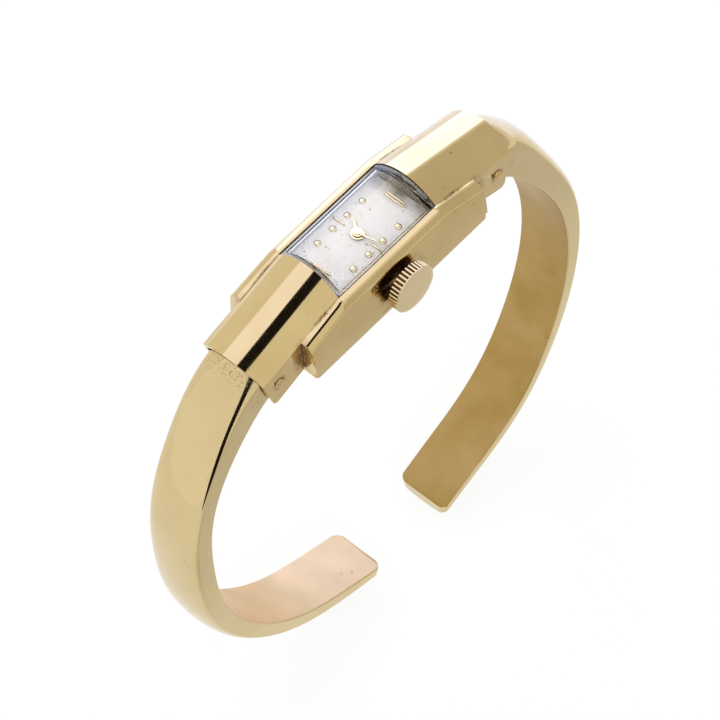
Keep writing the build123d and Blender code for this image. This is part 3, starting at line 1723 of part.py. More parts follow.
# Screws of the bridges, the cocks, the click and the setting bridge
def screw(place, head_bottom, shank_length):
    """Adds a slotted screw whose head faces the case back."""
    slotted_head(place, head_bottom, screw_head_height, bridge_screw_head)
    top = head_bottom + screw_head_height
    peg(at(place, top), shank_length, screw_shank_radius)


with BuildPart() as bridge_screws:
    under_head = bridge_height - screw_head_height
    for place in barrel_bridge_screws + train_bridge_screws + [cock_foot]:
        screw(place, bridge_bottom, under_head + bridge_screw_depth - seat_gap)
    pallet_head = pallet_cock_bottom - screw_head_height
    screw(pallet_cock_foot, pallet_head, bridge_screw_depth)
    screw(click_pivot, head_bottom, bridge_recess_top + bridge_recess - shank_bottom)
    top_plane = at(setting_screw_place, setting_bridge_height)
    head_plane = at(
        setting_screw_place, setting_bridge_height + setting_bridge_thickness
    )
    peg(head_plane, screw_head_height, setting_screw_head)
    peg(top_plane, setting_bridge_thickness, screw_shank_radius)
write(bridge_screws.part, "bridge_screws")
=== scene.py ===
"""Dresses a lady's gold bangle watch with its arched glass and silvered dial.

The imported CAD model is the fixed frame: metres, the origin at the middle of the case
back, +Z out of the dial, +Y to 12 o'clock and +X to the crown. Sizes below are in
millimetres, and every mesh is brought to metres as it is made.
"""
import json
import logging
import math
from dataclasses import dataclass, field
from enum import Enum

import bmesh
import bpy
import numpy as np
from mathutils import Matrix, Vector

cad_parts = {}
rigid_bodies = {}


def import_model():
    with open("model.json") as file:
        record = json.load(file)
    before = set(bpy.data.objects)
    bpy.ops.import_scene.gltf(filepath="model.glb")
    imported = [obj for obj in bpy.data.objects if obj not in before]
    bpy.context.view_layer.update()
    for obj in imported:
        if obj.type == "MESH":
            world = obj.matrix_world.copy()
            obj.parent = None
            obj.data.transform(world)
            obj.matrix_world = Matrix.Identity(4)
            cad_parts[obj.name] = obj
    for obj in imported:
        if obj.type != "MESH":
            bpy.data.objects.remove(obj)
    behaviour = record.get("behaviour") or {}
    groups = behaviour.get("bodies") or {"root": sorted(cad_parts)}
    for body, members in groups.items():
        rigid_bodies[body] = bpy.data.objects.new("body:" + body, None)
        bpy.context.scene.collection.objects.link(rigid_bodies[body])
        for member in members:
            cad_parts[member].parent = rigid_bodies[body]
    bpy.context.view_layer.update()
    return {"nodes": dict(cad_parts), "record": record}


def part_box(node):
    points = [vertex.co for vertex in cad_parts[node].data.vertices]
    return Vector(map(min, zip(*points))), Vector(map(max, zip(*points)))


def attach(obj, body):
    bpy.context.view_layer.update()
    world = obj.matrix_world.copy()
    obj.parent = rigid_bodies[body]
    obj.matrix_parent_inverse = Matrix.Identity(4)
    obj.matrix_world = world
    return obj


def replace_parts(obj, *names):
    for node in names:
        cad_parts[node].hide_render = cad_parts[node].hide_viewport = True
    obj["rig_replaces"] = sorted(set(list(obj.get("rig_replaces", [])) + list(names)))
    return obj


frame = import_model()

log = logging.getLogger("bangle_watch")

MM = 0.001
Point = tuple[float, float, float]
Flat = tuple[float, float]
Colour = tuple[float, float, float]
Mesh = bpy.types.Mesh
Object = bpy.types.Object
Material = bpy.types.Material
Node = bpy.types.Node
Socket = bpy.types.NodeSocket


class Grain(Enum):
    """The axis that a surface's streaks follow."""

    ALONG_X = 0
    ALONG_Y = 1
    ALONG_Z = 2


class Cut(Enum):
    """How a second solid changes the first."""

    AWAY = "DIFFERENCE"
    KEEP_SHARED = "INTERSECT"


# Finishes


class Wiring:
    """A node tree, with short calls that add and join its nodes."""

    def __init__(self, tree: bpy.types.NodeTree) -> None:
        """Takes up a node tree and empties it."""
        self.tree = tree
        self.tree.nodes.clear()

    def add(self, kind: str, **settings: object) -> Node:
        """Adds a node.

        Args:
            kind: Blender's name for the node.
            settings: The node's own options.

        Returns:
            The new node.
        """
        node = self.tree.nodes.new(kind)
        for name, value in settings.items():
            setattr(node, name, value)
        return node

    def join(self, out: Socket, into: Socket) -> None:
        """Joins two sockets."""
        self.tree.links.new(out, into)

    def math(self, operation: str, first: Socket,
             second: Socket | float = 0.0) -> Socket:
        """Works out one sum.

        Args:
            operation: Blender's name for it.
            first: The first value.
            second: The second value, a number or a socket.

        Returns:
            The result.
        """
        node = self.add("ShaderNodeMath", operation=operation)
        self.join(first, node.inputs[0])
        if isinstance(second, (int, float)):
            node.inputs[1].default_value = second
        else:
            self.join(second, node.inputs[1])
        return node.outputs[0]

    def light(self, kind: str, colour: Colour, strength: float) -> Node:
        """Adds a surface or a surround that glows.

        Args:
            kind: Blender's name for the node.
            colour: The light's colour.
            strength: How bright it is, where 1 is white.

        Returns:
            The new node.
        """
        node = self.add(kind)
        node.inputs["Color"].default_value = (*colour, 1.0)
        node.inputs["Strength"].default_value = strength
        return node

    def mix(self, share: Socket, first: Node, second: Node) -> Socket:
        """Mixes two shaders.

        Args:
            share: How much of the second one shows.
            first: The first shader.
            second: The second shader.

        Returns:
            The mixed surface.
        """
        node = self.add("ShaderNodeMixShader")
        self.join(share, node.inputs[0])
        self.join(first.outputs[0], node.inputs[1])
        self.join(second.outputs[0], node.inputs[2])
        return node.outputs[0]

    def seen_plainly(self) -> Socket:
        """Returns 1 for what the eye, a mirror or glass sees, and 0 for other rays."""
        path = self.add("ShaderNodeLightPath").outputs
        mirrored = self.math("MAXIMUM", path["Is Camera Ray"], path["Is Glossy Ray"])
        return self.math("MAXIMUM", mirrored, path["Is Transmission Ray"])


class Recipe(Wiring):
    """A material in the making, with short calls for its patterns and colours."""

    def __init__(self, name: str) -> None:
        """Starts an empty material with a name."""
        self.material = bpy.data.materials.new(name)
        self.material.use_nodes = True
        super().__init__(self.material.node_tree)
        self.place = self.add("ShaderNodeTexCoord").outputs["Object"]

    def parts(self, vector: Socket) -> list[Socket]:
        """Returns a vector's X, Y and Z."""
        split = self.add("ShaderNodeSeparateXYZ")
        self.join(vector, split.inputs[0])
        return list(split.outputs)

    def noise(self, scale: Point, detail: float, size: float = 1.0) -> Socket:
        """Adds a noise over the object.

        Args:
            scale: Cells to the metre along each axis.
            detail: How many finer layers it has.
            size: A factor on all three scales.

        Returns:
            The noise's value, about 0.5 on average.
        """
        mapping = self.add("ShaderNodeMapping")
        mapping.inputs["Scale"].default_value = scale
        self.join(self.place, mapping.inputs["Vector"])
        noise = self.add("ShaderNodeTexNoise")
        noise.inputs["Scale"].default_value = size
        noise.inputs["Detail"].default_value = detail
        self.join(mapping.outputs["Vector"], noise.inputs["Vector"])
        return noise.outputs["Fac"]

    def between(self, value: Socket, low: float, high: float,
                to_low: float = 0.0, to_high: float = 1.0) -> Socket:
        """Maps a value from one range to another, and clamps it.

        Args:
            value: The socket to map.
            low: The value that gives to_low.
            high: The value that gives to_high.
            to_low: The result at low.
            to_high: The result at high.

        Returns:
            The mapped value.
        """
        node = self.add("ShaderNodeMapRange", clamp=True)
        for name, number in (("From Min", low), ("From Max", high),
                             ("To Min", to_low), ("To Max", to_high)):
            node.inputs[name].default_value = number
        self.join(value, node.inputs["Value"])
        return node.outputs["Result"]

    def blend(self, share: Socket, first: Colour | Socket,
              second: Colour | Socket) -> Socket:
        """Mixes two colours.

        Args:
            share: How much of the second colour shows.
            first: A colour or a socket.
            second: A colour or a socket.

        Returns:
            The mixed colour.
        """
        node = self.add("ShaderNodeMix", data_type="RGBA")
        self.join(share, node.inputs[0])
        for colour, socket in ((first, node.inputs[6]), (second, node.inputs[7])):
            if isinstance(colour, tuple):
                socket.default_value = (*colour, 1.0)
            else:
                self.join(colour, socket)
        return node.outputs[2]

    def bump(self, heights: list[tuple[Socket, float, float]],
             shader: Node) -> None:
        """Adds relief to a shader.

        Args:
            heights: For each relief its value, strength and depth in millimetres.
            shader: The shader that gets it.
        """
        normal = None
        for value, strength, depth in heights:
            node = self.add("ShaderNodeBump")
            node.inputs["Strength"].default_value = strength
            node.inputs["Distance"].default_value = depth * MM
            self.join(value, node.inputs["Height"])
            if normal is not None:
                self.join(normal, node.inputs["Normal"])
            normal = node.outputs["Normal"]
        self.join(normal, shader.inputs["Normal"])

    def cloud(self, detail: float, size: float) -> Socket:
        """Adds a noise that is even all ways, its size in cells to the metre."""
        return self.noise((1.0, 1.0, 1.0), detail, size)

    def streaks(self, grain: Grain, fine: float, long: float) -> Socket:
        """Adds a noise of streaks along one axis.

        Args:
            grain: The axis that they follow.
            fine: Cells to the metre across them.
            long: Cells to the metre along them.

        Returns:
            The noise's value, about 0.5 on average.
        """
        scale = [fine, fine, fine]
        scale[grain.value] = long
        return self.noise(tuple(scale), 2.0)

    def shader(self, **values: float) -> Node:
        """Adds the shader.

        Args:
            values: The shader's constants, spaces in their names written as _.

        Returns:
            The shader.
        """
        shader = self.add("ShaderNodeBsdfPrincipled")
        for name, value in values.items():
            shader.inputs[name.replace("_", " ")].default_value = value
        return shader

    def finish(self, surface: Socket) -> Material:
        """Ends the material with a surface and returns it."""
        output = self.add("ShaderNodeOutputMaterial")
        self.join(surface, output.inputs["Surface"])
        return self.material


@dataclass(frozen=True)
class DirtAndShade:
    """A brown-darkened place in millimetres: dirt at some, painted shade at others.

    The darkening is full round the middle and fades out towards its reach. X and Y are
    taken without their signs, so that one entry serves both ends and both sides,
    unless it has one side only.
    """

    middle: Point
    reach: Point
    strength: float
    one_side: bool = False


@dataclass(frozen=True)
class GoldFinish:
    """Worn yellow gold: soft blotches, brown specks, hairlines, gathered dirt and
    painted shade.

    Scales are in cells to the metre, and depths in millimetres. Where it has inner
    colours, the faces against the wrist take them, as stain and painted shade together,
    and take a satin finish from wear.
    """

    name: str
    colour: Colour = (0.66, 0.505, 0.245)
    shade: Colour = (0.57, 0.42, 0.185)
    dirt_and_shade_colour: Colour = (0.16, 0.08, 0.028)
    inner: Colour | None = None
    inner_shade: Colour | None = None
    roughness: float = 0.035
    unevenness: float = 0.05
    inner_roughness: float = 0.3
    dirt_and_shade_roughness: float = 0.4
    blotches: float = 0.35
    blotch_scale: float = 170.0
    stain_scale: float = 240.0
    spots: float = 0.6
    spot_scale: float = 1500.0
    spot_area_scale: float = 130.0
    ripple: float = 0.02
    ripple_scale: float = 260.0
    ripple_depth: float = 0.1
    hairlines: float = 0.05
    hairline_scales: Flat = (5200.0, 260.0)
    hairline_depth: float = 0.004
    grain: Grain = Grain.ALONG_Y
    dirt_and_shade: tuple[DirtAndShade, ...] = ()
    dirt_and_shade_core: float = 0.15
    mottle_scale: float = 2300.0
    mottle_floor: float = 0.35
    mottle_span: Flat = (0.4, 0.58)

    def dirt_and_shade_at(self, recipe: Recipe, place: DirtAndShade) -> Socket:
        """Returns how dark each point is because of one place of dirt and painted
        shade.

        Args:
            recipe: The material in the making.
            place: The place of dirt and painted shade.

        Returns:
            The darkening, from 0 to the place's strength.
        """
        parts = recipe.parts(recipe.place)
        total = None
        for axis in range(3):
            out = parts[axis]
            if axis < 2 and not place.one_side:
                out = recipe.math("ABSOLUTE", out)
            off = recipe.math("SUBTRACT", out, place.middle[axis] * MM)
            share = recipe.math("DIVIDE", off, place.reach[axis] * MM)
            square = recipe.math("MULTIPLY", share, share)
            total = square if total is None else recipe.math("ADD", total, square)
        return recipe.between(total, self.dirt_and_shade_core, 1.0, place.strength, 0.0)

    def darkening(self, recipe: Recipe) -> Socket:
        """Returns the brown specks, the gathered dirt and the painted shade together.

        Args:
            recipe: The material in the making.

        Returns:
            The share of darkening at each point.
        """
        speck = recipe.between(recipe.cloud(2.0, self.spot_scale), 0.68, 0.76)
        area = recipe.between(
            recipe.cloud(1.0, self.spot_area_scale), 0.5, 0.7, 0.0, self.spots)
        darkening = recipe.math("MULTIPLY", speck, area)
        mottle = recipe.between(recipe.cloud(5.0, self.mottle_scale), *self.mottle_span,
                                self.mottle_floor, 1.0)
        for place in self.dirt_and_shade:
            here = recipe.math("MULTIPLY", self.dirt_and_shade_at(recipe, place), mottle)
            darkening = recipe.math("MAXIMUM", darkening, here)
        return darkening

    def wear_and_shade(self, recipe: Recipe, colour: Socket,
             rough: Socket) -> tuple[Socket, Socket]:
        """Gives the faces against the wrist their satin look, and their colours of
        stain and painted shade.

        Args:
            recipe: The material in the making.
            colour: The colour so far.
            rough: The roughness so far.

        Returns:
            The new colour and roughness.
        """
        inside = recipe.add("ShaderNodeAttribute", attribute_name="inner_face")
        inside = inside.outputs["Fac"]
        stain = recipe.cloud(5.0, self.stain_scale)
        # The inner colours, stain and painted shade, mixed by one noise.
        stain_and_shade = recipe.blend(
            recipe.between(stain, 0.35, 0.7), self.inner, self.inner_shade)
        low = self.inner_roughness
        extra = recipe.between(stain, 0.3, 0.7, low, low + 0.1)
        return (recipe.blend(inside, colour, stain_and_shade),
                recipe.math("ADD", rough, recipe.math("MULTIPLY", extra, inside)))

    def build(self) -> Material:
        """Returns the finished material."""
        recipe = Recipe(self.name)
        blotch = recipe.cloud(4.0, self.blotch_scale)
        warm = recipe.between(blotch, 0.42, 0.72, 0.0, self.blotches)
        colour = recipe.blend(warm, self.colour, self.shade)
        low, high = self.roughness, self.roughness + self.unevenness
        rough = recipe.between(blotch, 0.35, 0.75, low, high)
        if self.inner is not None:
            colour, rough = self.wear_and_shade(recipe, colour, rough)
        darkening = self.darkening(recipe)
        # Specks, dirt and painted shade all turn the colour towards one dark brown.
        colour = recipe.blend(darkening, colour, self.dirt_and_shade_colour)
        extra = recipe.math("MULTIPLY", darkening, self.dirt_and_shade_roughness)
        shader = recipe.shader(Metallic=1.0)
        recipe.join(colour, shader.inputs["Base Color"])
        recipe.join(recipe.math("ADD", rough, extra), shader.inputs["Roughness"])
        swell = recipe.cloud(1.0, self.ripple_scale)
        lines = recipe.streaks(self.grain, *self.hairline_scales)
        recipe.bump([(swell, self.ripple, self.ripple_depth),
                     (lines, self.hairlines, self.hairline_depth)], shader)
        return recipe.finish(shader.outputs[0])


@dataclass(frozen=True)
class MetalFinish:
    """A plain metal of the movement, with its own grain or stripes."""

    name: str
    colour: Colour
    shade: Colour
    roughness: float = 0.25
    hairlines: float = 0.25
    grain: Grain = Grain.ALONG_X
    stripe: float = 0.0

    def build(self) -> Material:
        """Returns the finished material."""
        recipe = Recipe(self.name)
        share = recipe.between(recipe.cloud(3.0, 400.0), 0.4, 0.75, 0.0, 0.6)
        colour = recipe.blend(share, self.colour, self.shade)
        if self.stripe:
            wave = recipe.add("ShaderNodeTexWave", bands_direction="DIAGONAL")
            wave.inputs["Scale"].default_value = self.stripe
            wave.inputs["Distortion"].default_value = 0.0
            recipe.join(recipe.place, wave.inputs["Vector"])
            band = recipe.between(wave.outputs["Fac"], 0.0, 1.0, 0.0, 0.5)
            colour = recipe.blend(band, colour, self.shade)
        shader = recipe.shader(Metallic=1.0)
        recipe.join(colour, shader.inputs["Base Color"])
        lines = recipe.streaks(self.grain, 6500.0, 500.0)
        rough = recipe.between(lines, 0.3, 0.7, self.roughness, self.roughness + 0.12)
        recipe.join(rough, shader.inputs["Roughness"])
        recipe.bump([(lines, self.hairlines, 0.003)], shader)
        return recipe.finish(shader.outputs[0])


@dataclass(frozen=True)
class DialFinish:
    """A silvered dial, finely brushed, with grey age specks and greyer ends."""

    name: str = "silvered_dial"
    colour: Colour = (0.84, 0.785, 0.765)
    shade: Colour = (0.73, 0.68, 0.645)
    speck: Colour = (0.30, 0.28, 0.25)
    stain: Colour = (0.14, 0.12, 0.08)
    stained: Flat = (4.5, 6.0)

    def build(self) -> Material:
        """Returns the finished material."""
        recipe = Recipe(self.name)
        cloud = recipe.between(recipe.cloud(3.0, 350.0), 0.45, 0.75, 0.0, 0.6)
        colour = recipe.blend(cloud, self.colour, self.shade)
        speck = recipe.between(recipe.cloud(1.0, 2600.0), 0.65, 0.72)
        patch = recipe.between(recipe.cloud(1.0, 420.0), 0.42, 0.58, 0.1, 0.85)
        colour = recipe.blend(recipe.math("MULTIPLY", speck, patch), colour, self.speck)
        along = recipe.parts(recipe.place)[1]
        start, end = (value * MM for value in self.stained)
        near_end = recipe.between(along, start, end)
        smear = recipe.noise((1.0, 0.45, 1.0), 4.0, 620.0)
        smear = recipe.between(smear, 0.3, 0.62, 0.25, 1.0)
        stained = recipe.math("MULTIPLY", near_end, smear)
        shader = recipe.shader()
        recipe.join(recipe.blend(stained, colour, self.stain),
                    shader.inputs["Base Color"])
        brushed = recipe.streaks(Grain.ALONG_Y, 7000.0, 250.0)
        rough = recipe.between(brushed, 0.3, 0.7, 0.42, 0.6)
        recipe.join(rough, shader.inputs["Roughness"])
        recipe.bump([(brushed, 0.12, 0.004)], shader)
        return recipe.finish(shader.outputs[0])


@dataclass(frozen=True)
class GlassFinish:
    """Clear acrylic with a few faint scuffs and dirt round its edge.

    Where the dirt starts and is full is in millimetres from the middle.
    """

    name: str = "clear_acrylic"
    tint: Colour = (0.97, 0.98, 0.98)
    cloudy_tint: Colour = (0.93, 0.94, 0.93)
    darkening: Colour = (0.035, 0.024, 0.012)
    gleam: Colour = (0.5, 0.4, 0.22)
    shadow: Colour = (0.9, 0.9, 0.89)
    side_dirt: Flat = (3.64, 3.69)
    end_dirt: Flat = (5.9, 6.5)

    def edge(self, recipe: Recipe) -> Socket:
        """Returns how dirty each point is, because it is near the glass's edge.

        Args:
            recipe: The material in the making.

        Returns:
            The share of dirt.
        """
        parts = recipe.parts(recipe.place)
        near = []
        for axis, (start, end) in enumerate((self.side_dirt, self.end_dirt)):
            away = recipe.math("ABSOLUTE", parts[axis])
            near.append(recipe.between(away, start * MM, end * MM, 0.0, 0.9))
        smear = recipe.between(recipe.cloud(4.0, 900.0), 0.35, 0.62, 0.25, 0.85)
        return recipe.math("MAXIMUM", near[0], recipe.math("MULTIPLY", near[1], smear))

    def build(self) -> Material:
        """Returns the finished material, which lets the lamps' light through."""
        recipe = Recipe(self.name)
        shader = recipe.shader(IOR=1.49)
        scuffs = recipe.streaks(Grain.ALONG_Y, 2400.0, 300.0)
        rough = recipe.between(scuffs, 0.62, 0.8, 0.01, 0.09)
        recipe.join(rough, shader.inputs["Roughness"])
        cloud = recipe.between(recipe.cloud(2.0, 300.0), 0.3, 0.7)
        edge = self.edge(recipe)
        tint = recipe.blend(
            edge, recipe.blend(cloud, self.tint, self.cloudy_tint), self.darkening)
        recipe.join(tint, shader.inputs["Base Color"])
        clearness = recipe.between(edge, 0.3, 0.9, 1.0, 0.2)
        recipe.join(clearness, shader.inputs["Transmission Weight"])
        shader.inputs["Specular Tint"].default_value = (*self.gleam, 1.0)
        clear = recipe.add("ShaderNodeBsdfTransparent")
        clear.inputs["Color"].default_value = (*self.shadow, 1.0)
        shadow_ray = recipe.add("ShaderNodeLightPath").outputs["Is Shadow Ray"]
        return recipe.finish(recipe.mix(shadow_ray, shader, clear))


@dataclass(frozen=True)
class SolidFinish:
    """A moulded, dyed or stone-like finish that isn't metal."""

    name: str
    colour: Colour
    shade: Colour
    roughness: float = 0.45
    pebble: float = 0.2

    def build(self) -> Material:
        """Returns the finished material."""
        recipe = Recipe(self.name)
        cloud = recipe.cloud(3.0, 500.0)
        shader = recipe.shader()
        tint = recipe.blend(recipe.between(cloud, 0.35, 0.7), self.colour, self.shade)
        recipe.join(tint, shader.inputs["Base Color"])
        rough = recipe.between(cloud, 0.3, 0.7, self.roughness, self.roughness + 0.1)
        recipe.join(rough, shader.inputs["Roughness"])
        recipe.bump([(recipe.cloud(2.0, 4500.0), self.pebble, 0.004)], shader)
        return recipe.finish(shader.outputs[0])


@dataclass
class Palette:
    """Every finish of the watch, built once."""

    polished_gold: Material = field(init=False)
    arm_gold: dict[str, Material] = field(init=False)
    satin_gold: Material = field(init=False)
    crown_gold: Material = field(init=False)
    crown_groove: Material = field(init=False)
    marker_gold: Material = field(init=False)
    rivet_gold: Material = field(init=False)
    dial: Material = field(init=False)
    glass: Material = field(init=False)
    movement: dict[str, Material] = field(init=False)

    def __post_init__(self) -> None:
        """Builds the materials."""
        # Painted shade where the hood's side meets the flank's end.
        shade_under_hood = DirtAndShade((3.9, 12.0, 2.6), (0.9, 1.5, 3.0), 0.68)
        # Painted shadow round the rivet heads, with some dirt.
        shade_and_dirt_round_rivet = DirtAndShade((3.8, 15.15, 2.03), (0.3, 0.98, 0.98), 1.0)
        hood_joint = DirtAndShade((3.8, 9.5, 5.75), (0.2, 4.0, 0.6), 0.8)
        back_seam = DirtAndShade((5.4, 0.0, 0.9), (0.5, 60.0, 0.1), 0.85)
        # Painted shade on the flank round the crown, on the crown's side only.
        shade_round_crown = DirtAndShade((5.3, 0.0, 3.08), (0.6, 3.7, 3.2), 0.55, one_side=True)
        self.polished_gold = GoldFinish(
            "polished_gold", blotches=0.6, hairlines=0.09,
            dirt_and_shade=(shade_under_hood, shade_and_dirt_round_rivet, hood_joint, back_seam, shade_round_crown),
        ).build()
        # Each arm's inner colours are stain and painted shade together, darkened and
        # tinted for what that inside reflects; arm 12's inside is painted far darker.
        inner_stain_and_shade = {"12": ((0.38, 0.245, 0.07), (0.48, 0.325, 0.125)),
                         "6": ((0.72, 0.485, 0.25), (0.66, 0.465, 0.245))}
        on_root = DirtAndShade((0.8, 17.7, 3.4), (2.6, 1.3, 1.5), 0.6)
        beside_root = DirtAndShade((3.1, 17.5, 1.2), (0.7, 1.4, 1.6), 0.45)
        self.arm_gold = {
            hour: GoldFinish(
                "arm_gold_" + hour, colour=(0.655, 0.52, 0.275),
                shade=(0.59, 0.455, 0.225), dirt_and_shade_colour=(0.26, 0.14, 0.04), inner=inner,
                inner_shade=stain_and_shade, roughness=0.05, blotches=0.5, ripple=0.01,
                mottle_scale=5200.0, mottle_floor=0.0, mottle_span=(0.52, 0.64),
                dirt_and_shade=(on_root, beside_root),
            ).build()
            for hour, (inner, stain_and_shade) in inner_stain_and_shade.items()
        }
        self.satin_gold = GoldFinish(
            "satin_gold", roughness=0.26, spots=0.2, hairlines=0.3, grain=Grain.ALONG_Z,
        ).build()
        self.crown_gold = GoldFinish(
            "crown_gold", colour=(0.76, 0.62, 0.37), shade=(0.66, 0.52, 0.28),
            roughness=0.22, spots=0.3, hairlines=0.3, grain=Grain.ALONG_Z,
        ).build()
        # Painted shade: near-black brown on the crown's core between the ribs, for the
        # deep grooves' shadow.
        self.crown_groove = GoldFinish(
            "crown_groove", colour=(0.13, 0.07, 0.025), shade=(0.07, 0.035, 0.012),
            roughness=0.45, spots=0.2,
        ).build()
        self.marker_gold = GoldFinish(
            "marker_gold", colour=(0.77, 0.65, 0.45), roughness=0.12, spots=0.0,
            blotches=0.2,
        ).build()
        self.rivet_gold = GoldFinish(
            "rivet_gold", colour=(0.58, 0.41, 0.17), roughness=0.12, spots=0.3,
        ).build()
        self.dial = DialFinish().build()
        self.glass = GlassFinish().build()
        inside = {
            "plate_nickel": MetalFinish(
                "striped_nickel", (0.68, 0.66, 0.62), (0.52, 0.50, 0.46), 0.28,
                stripe=95.0),
            "steel": MetalFinish(
                "polished_steel", (0.62, 0.63, 0.64), (0.48, 0.49, 0.51), 0.18),
            "blued_steel": MetalFinish(
                "blued_steel", (0.05, 0.09, 0.26), (0.10, 0.08, 0.20), 0.2),
            "brass": MetalFinish(
                "gilt_brass", (0.68, 0.49, 0.20), (0.52, 0.35, 0.13), 0.24),
            "ruby": SolidFinish(
                "ruby", (0.42, 0.01, 0.05), (0.30, 0.01, 0.07), 0.08, 0.02),
            "holder_plastic": SolidFinish(
                "moulded_plastic", (0.05, 0.05, 0.055), (0.07, 0.07, 0.07), 0.5),
        }
        self.movement = {slot: finish.build() for slot, finish in inside.items()}


# Mesh making


def new_piece(name: str, mesh: Mesh) -> Object:
    """Returns a new object in the scene that shows a mesh."""
    piece = bpy.data.objects.new(name, mesh)
    bpy.context.scene.collection.objects.link(piece)
    return piece


def solid(name: str, points: list[Point], faces: list[list[int]]) -> Object:
    """Makes a mesh from its corners and faces.

    Args:
        name: The piece's name.
        points: Its corners in millimetres.
        faces: Its faces, as corner numbers.

    Returns:
        The new object, in metres, with its faces pointing outwards.
    """
    mesh = bpy.data.meshes.new(name)
    places = [tuple(MM * value for value in point) for point in points]
    mesh.from_pydata(places, [], faces)
    tidy(mesh)
    return new_piece(name, mesh)


def tidy(mesh: Mesh) -> None:
    """Merges a mesh's doubles and points its faces outwards."""
    work = bmesh.new()
    work.from_mesh(mesh)
    bmesh.ops.remove_doubles(work, verts=work.verts, dist=1e-7)
    bmesh.ops.recalc_face_normals(work, faces=work.faces)
    work.to_mesh(mesh)
    work.free()


def skin(name: str, rings: list[list[Point]]) -> Object:
    """Makes a solid through a row of rings with the same number of points.

    Args:
        name: The piece's name.
        rings: Closed rings of points in millimetres.

    Returns:
        The new object, closed at both ends.
    """
    count = len(rings[0])
    points = [point for ring in rings for point in ring]
    faces = [list(range(count)), list(range(len(points) - count, len(points)))]
    for i in range(len(rings) - 1):
        for k in range(count):
            after = (k + 1) % count
            row, next_row = i * count, (i + 1) * count
            faces.append([row + k, row + after, next_row + after, next_row + k])
    return solid(name, points, faces)


def prism(name: str, outline: list[Point], along: Point) -> Object:
    """Makes a straight solid from a flat outline.

    Args:
        name: The piece's name.
        outline: The first end's corners in millimetres.
        along: The way to the other end.

    Returns:
        The new object.
    """
    far = [tuple(a + b for a, b in zip(point, along)) for point in outline]
    return skin(name, [outline, far])


def box(name: str, low: Point, high: Point) -> Object:
    """Makes a box between two corners in millimetres."""
    outline = [(low[0], low[1], low[2]), (high[0], low[1], low[2]),
               (high[0], high[1], low[2]), (low[0], high[1], low[2])]
    return prism(name, outline, (0.0, 0.0, high[2] - low[2]))


def lathe(name: str, profile: list[Flat], centre: Point, axis: int,
          steps: int) -> Object:
    """Makes a turned solid.

    Args:
        name: The piece's name.
        profile: Places along the axis and radii, from end to end.
        centre: The middle of the profile's zero in millimetres.
        axis: 0 for a solid turned about X, or 2 about Z.
        steps: How many faces go round.

    Returns:
        The new object.
    """
    rings = []
    for along, radius in profile:
        ring = []
        for step in range(steps):
            angle = 2 * math.pi * step / steps
            across = (radius * math.cos(angle), radius * math.sin(angle))
            offset = (along, *across) if axis == 0 else (*across, along)
            ring.append(tuple(a + b for a, b in zip(centre, offset)))
        rings.append(ring)
    return skin(name, rings)


def settle(piece: Object) -> None:
    """Turns a piece's modifiers into plain mesh."""
    graph = bpy.context.evaluated_depsgraph_get()
    mesh = bpy.data.meshes.new_from_object(piece.evaluated_get(graph), depsgraph=graph)
    piece.modifiers.clear()
    old, piece.data = piece.data, mesh
    mesh.name = piece.name
    if old.users == 0:
        bpy.data.meshes.remove(old)


def forget(*pieces: Object) -> None:
    """Removes helper pieces that only cut another or gave a pattern its shape."""
    for piece in pieces:
        mesh = piece.data
        bpy.data.objects.remove(piece)
        bpy.data.meshes.remove(mesh)


def carve(piece: Object, tool: Object, cut: Cut = Cut.AWAY) -> None:
    """Cuts a piece with another, which is then gone.

    Args:
        piece: The solid to change.
        tool: The solid that cuts it.
        cut: Whether the tool's space goes or stays.
    """
    modifier = piece.modifiers.new("cut", "BOOLEAN")
    modifier.operation, modifier.solver, modifier.object = cut.value, "EXACT", tool
    settle(piece)
    forget(tool)
    trim(piece.data)


def trim(mesh: Mesh) -> None:
    """Cleans a mesh after a cut, and splits faces that have many corners."""
    work = bmesh.new()
    work.from_mesh(mesh)
    bmesh.ops.remove_doubles(work, verts=work.verts, dist=2e-6)
    bmesh.ops.dissolve_degenerate(work, edges=work.edges, dist=1e-6)
    wide = [face for face in work.faces if len(face.verts) > 4]
    bmesh.ops.triangulate(work, faces=wide, quad_method="BEAUTY", ngon_method="BEAUTY")
    work.to_mesh(mesh)
    work.free()


def soften(piece: Object, width: float, steps: int, angle: float) -> None:
    """Rounds a piece's sharp edges.

    Args:
        piece: The solid to change.
        width: How far the rounding reaches in millimetres.
        steps: Faces across the rounding.
        angle: Only edges sharper than this many degrees are rounded.
    """
    modifier = piece.modifiers.new("edges", "BEVEL")
    modifier.width, modifier.segments = width * MM, steps
    modifier.limit_method, modifier.angle_limit = "ANGLE", math.radians(angle)
    settle(piece)


def dress(piece: Object, material: Material, body: str, slot: str, *nodes: str,
          crease: float = 32.0, second: Material | None = None) -> None:
    """Finishes a piece and ties it to the frame.

    Args:
        piece: The piece.
        material: Its finish.
        body: The CAD body it moves with.
        slot: The record's material slot, not used.
        nodes: The CAD nodes it stands for.
        crease: Edges sharper than this many degrees stay sharp.
        second: The finish of the faces with material number 1.
    """
    numbers = [face.material_index for face in piece.data.polygons]
    piece.data.materials.clear()
    piece.data.materials.append(material)
    if second is not None:
        piece.data.materials.append(second)
        piece.data.polygons.foreach_set("material_index", numbers)
    piece.data.shade_smooth()
    piece.data.set_sharp_from_angle(angle=math.radians(crease))
    shading = piece.modifiers.new("shading", "WEIGHTED_NORMAL")
    shading.mode, shading.weight, shading.keep_sharp = "FACE_AREA", 80, True
    settle(piece)
    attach(piece, body)
    if nodes:
        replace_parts(piece, *nodes)
    log.info("%s: %d faces, rides on %s", piece.name, len(piece.data.polygons), body)


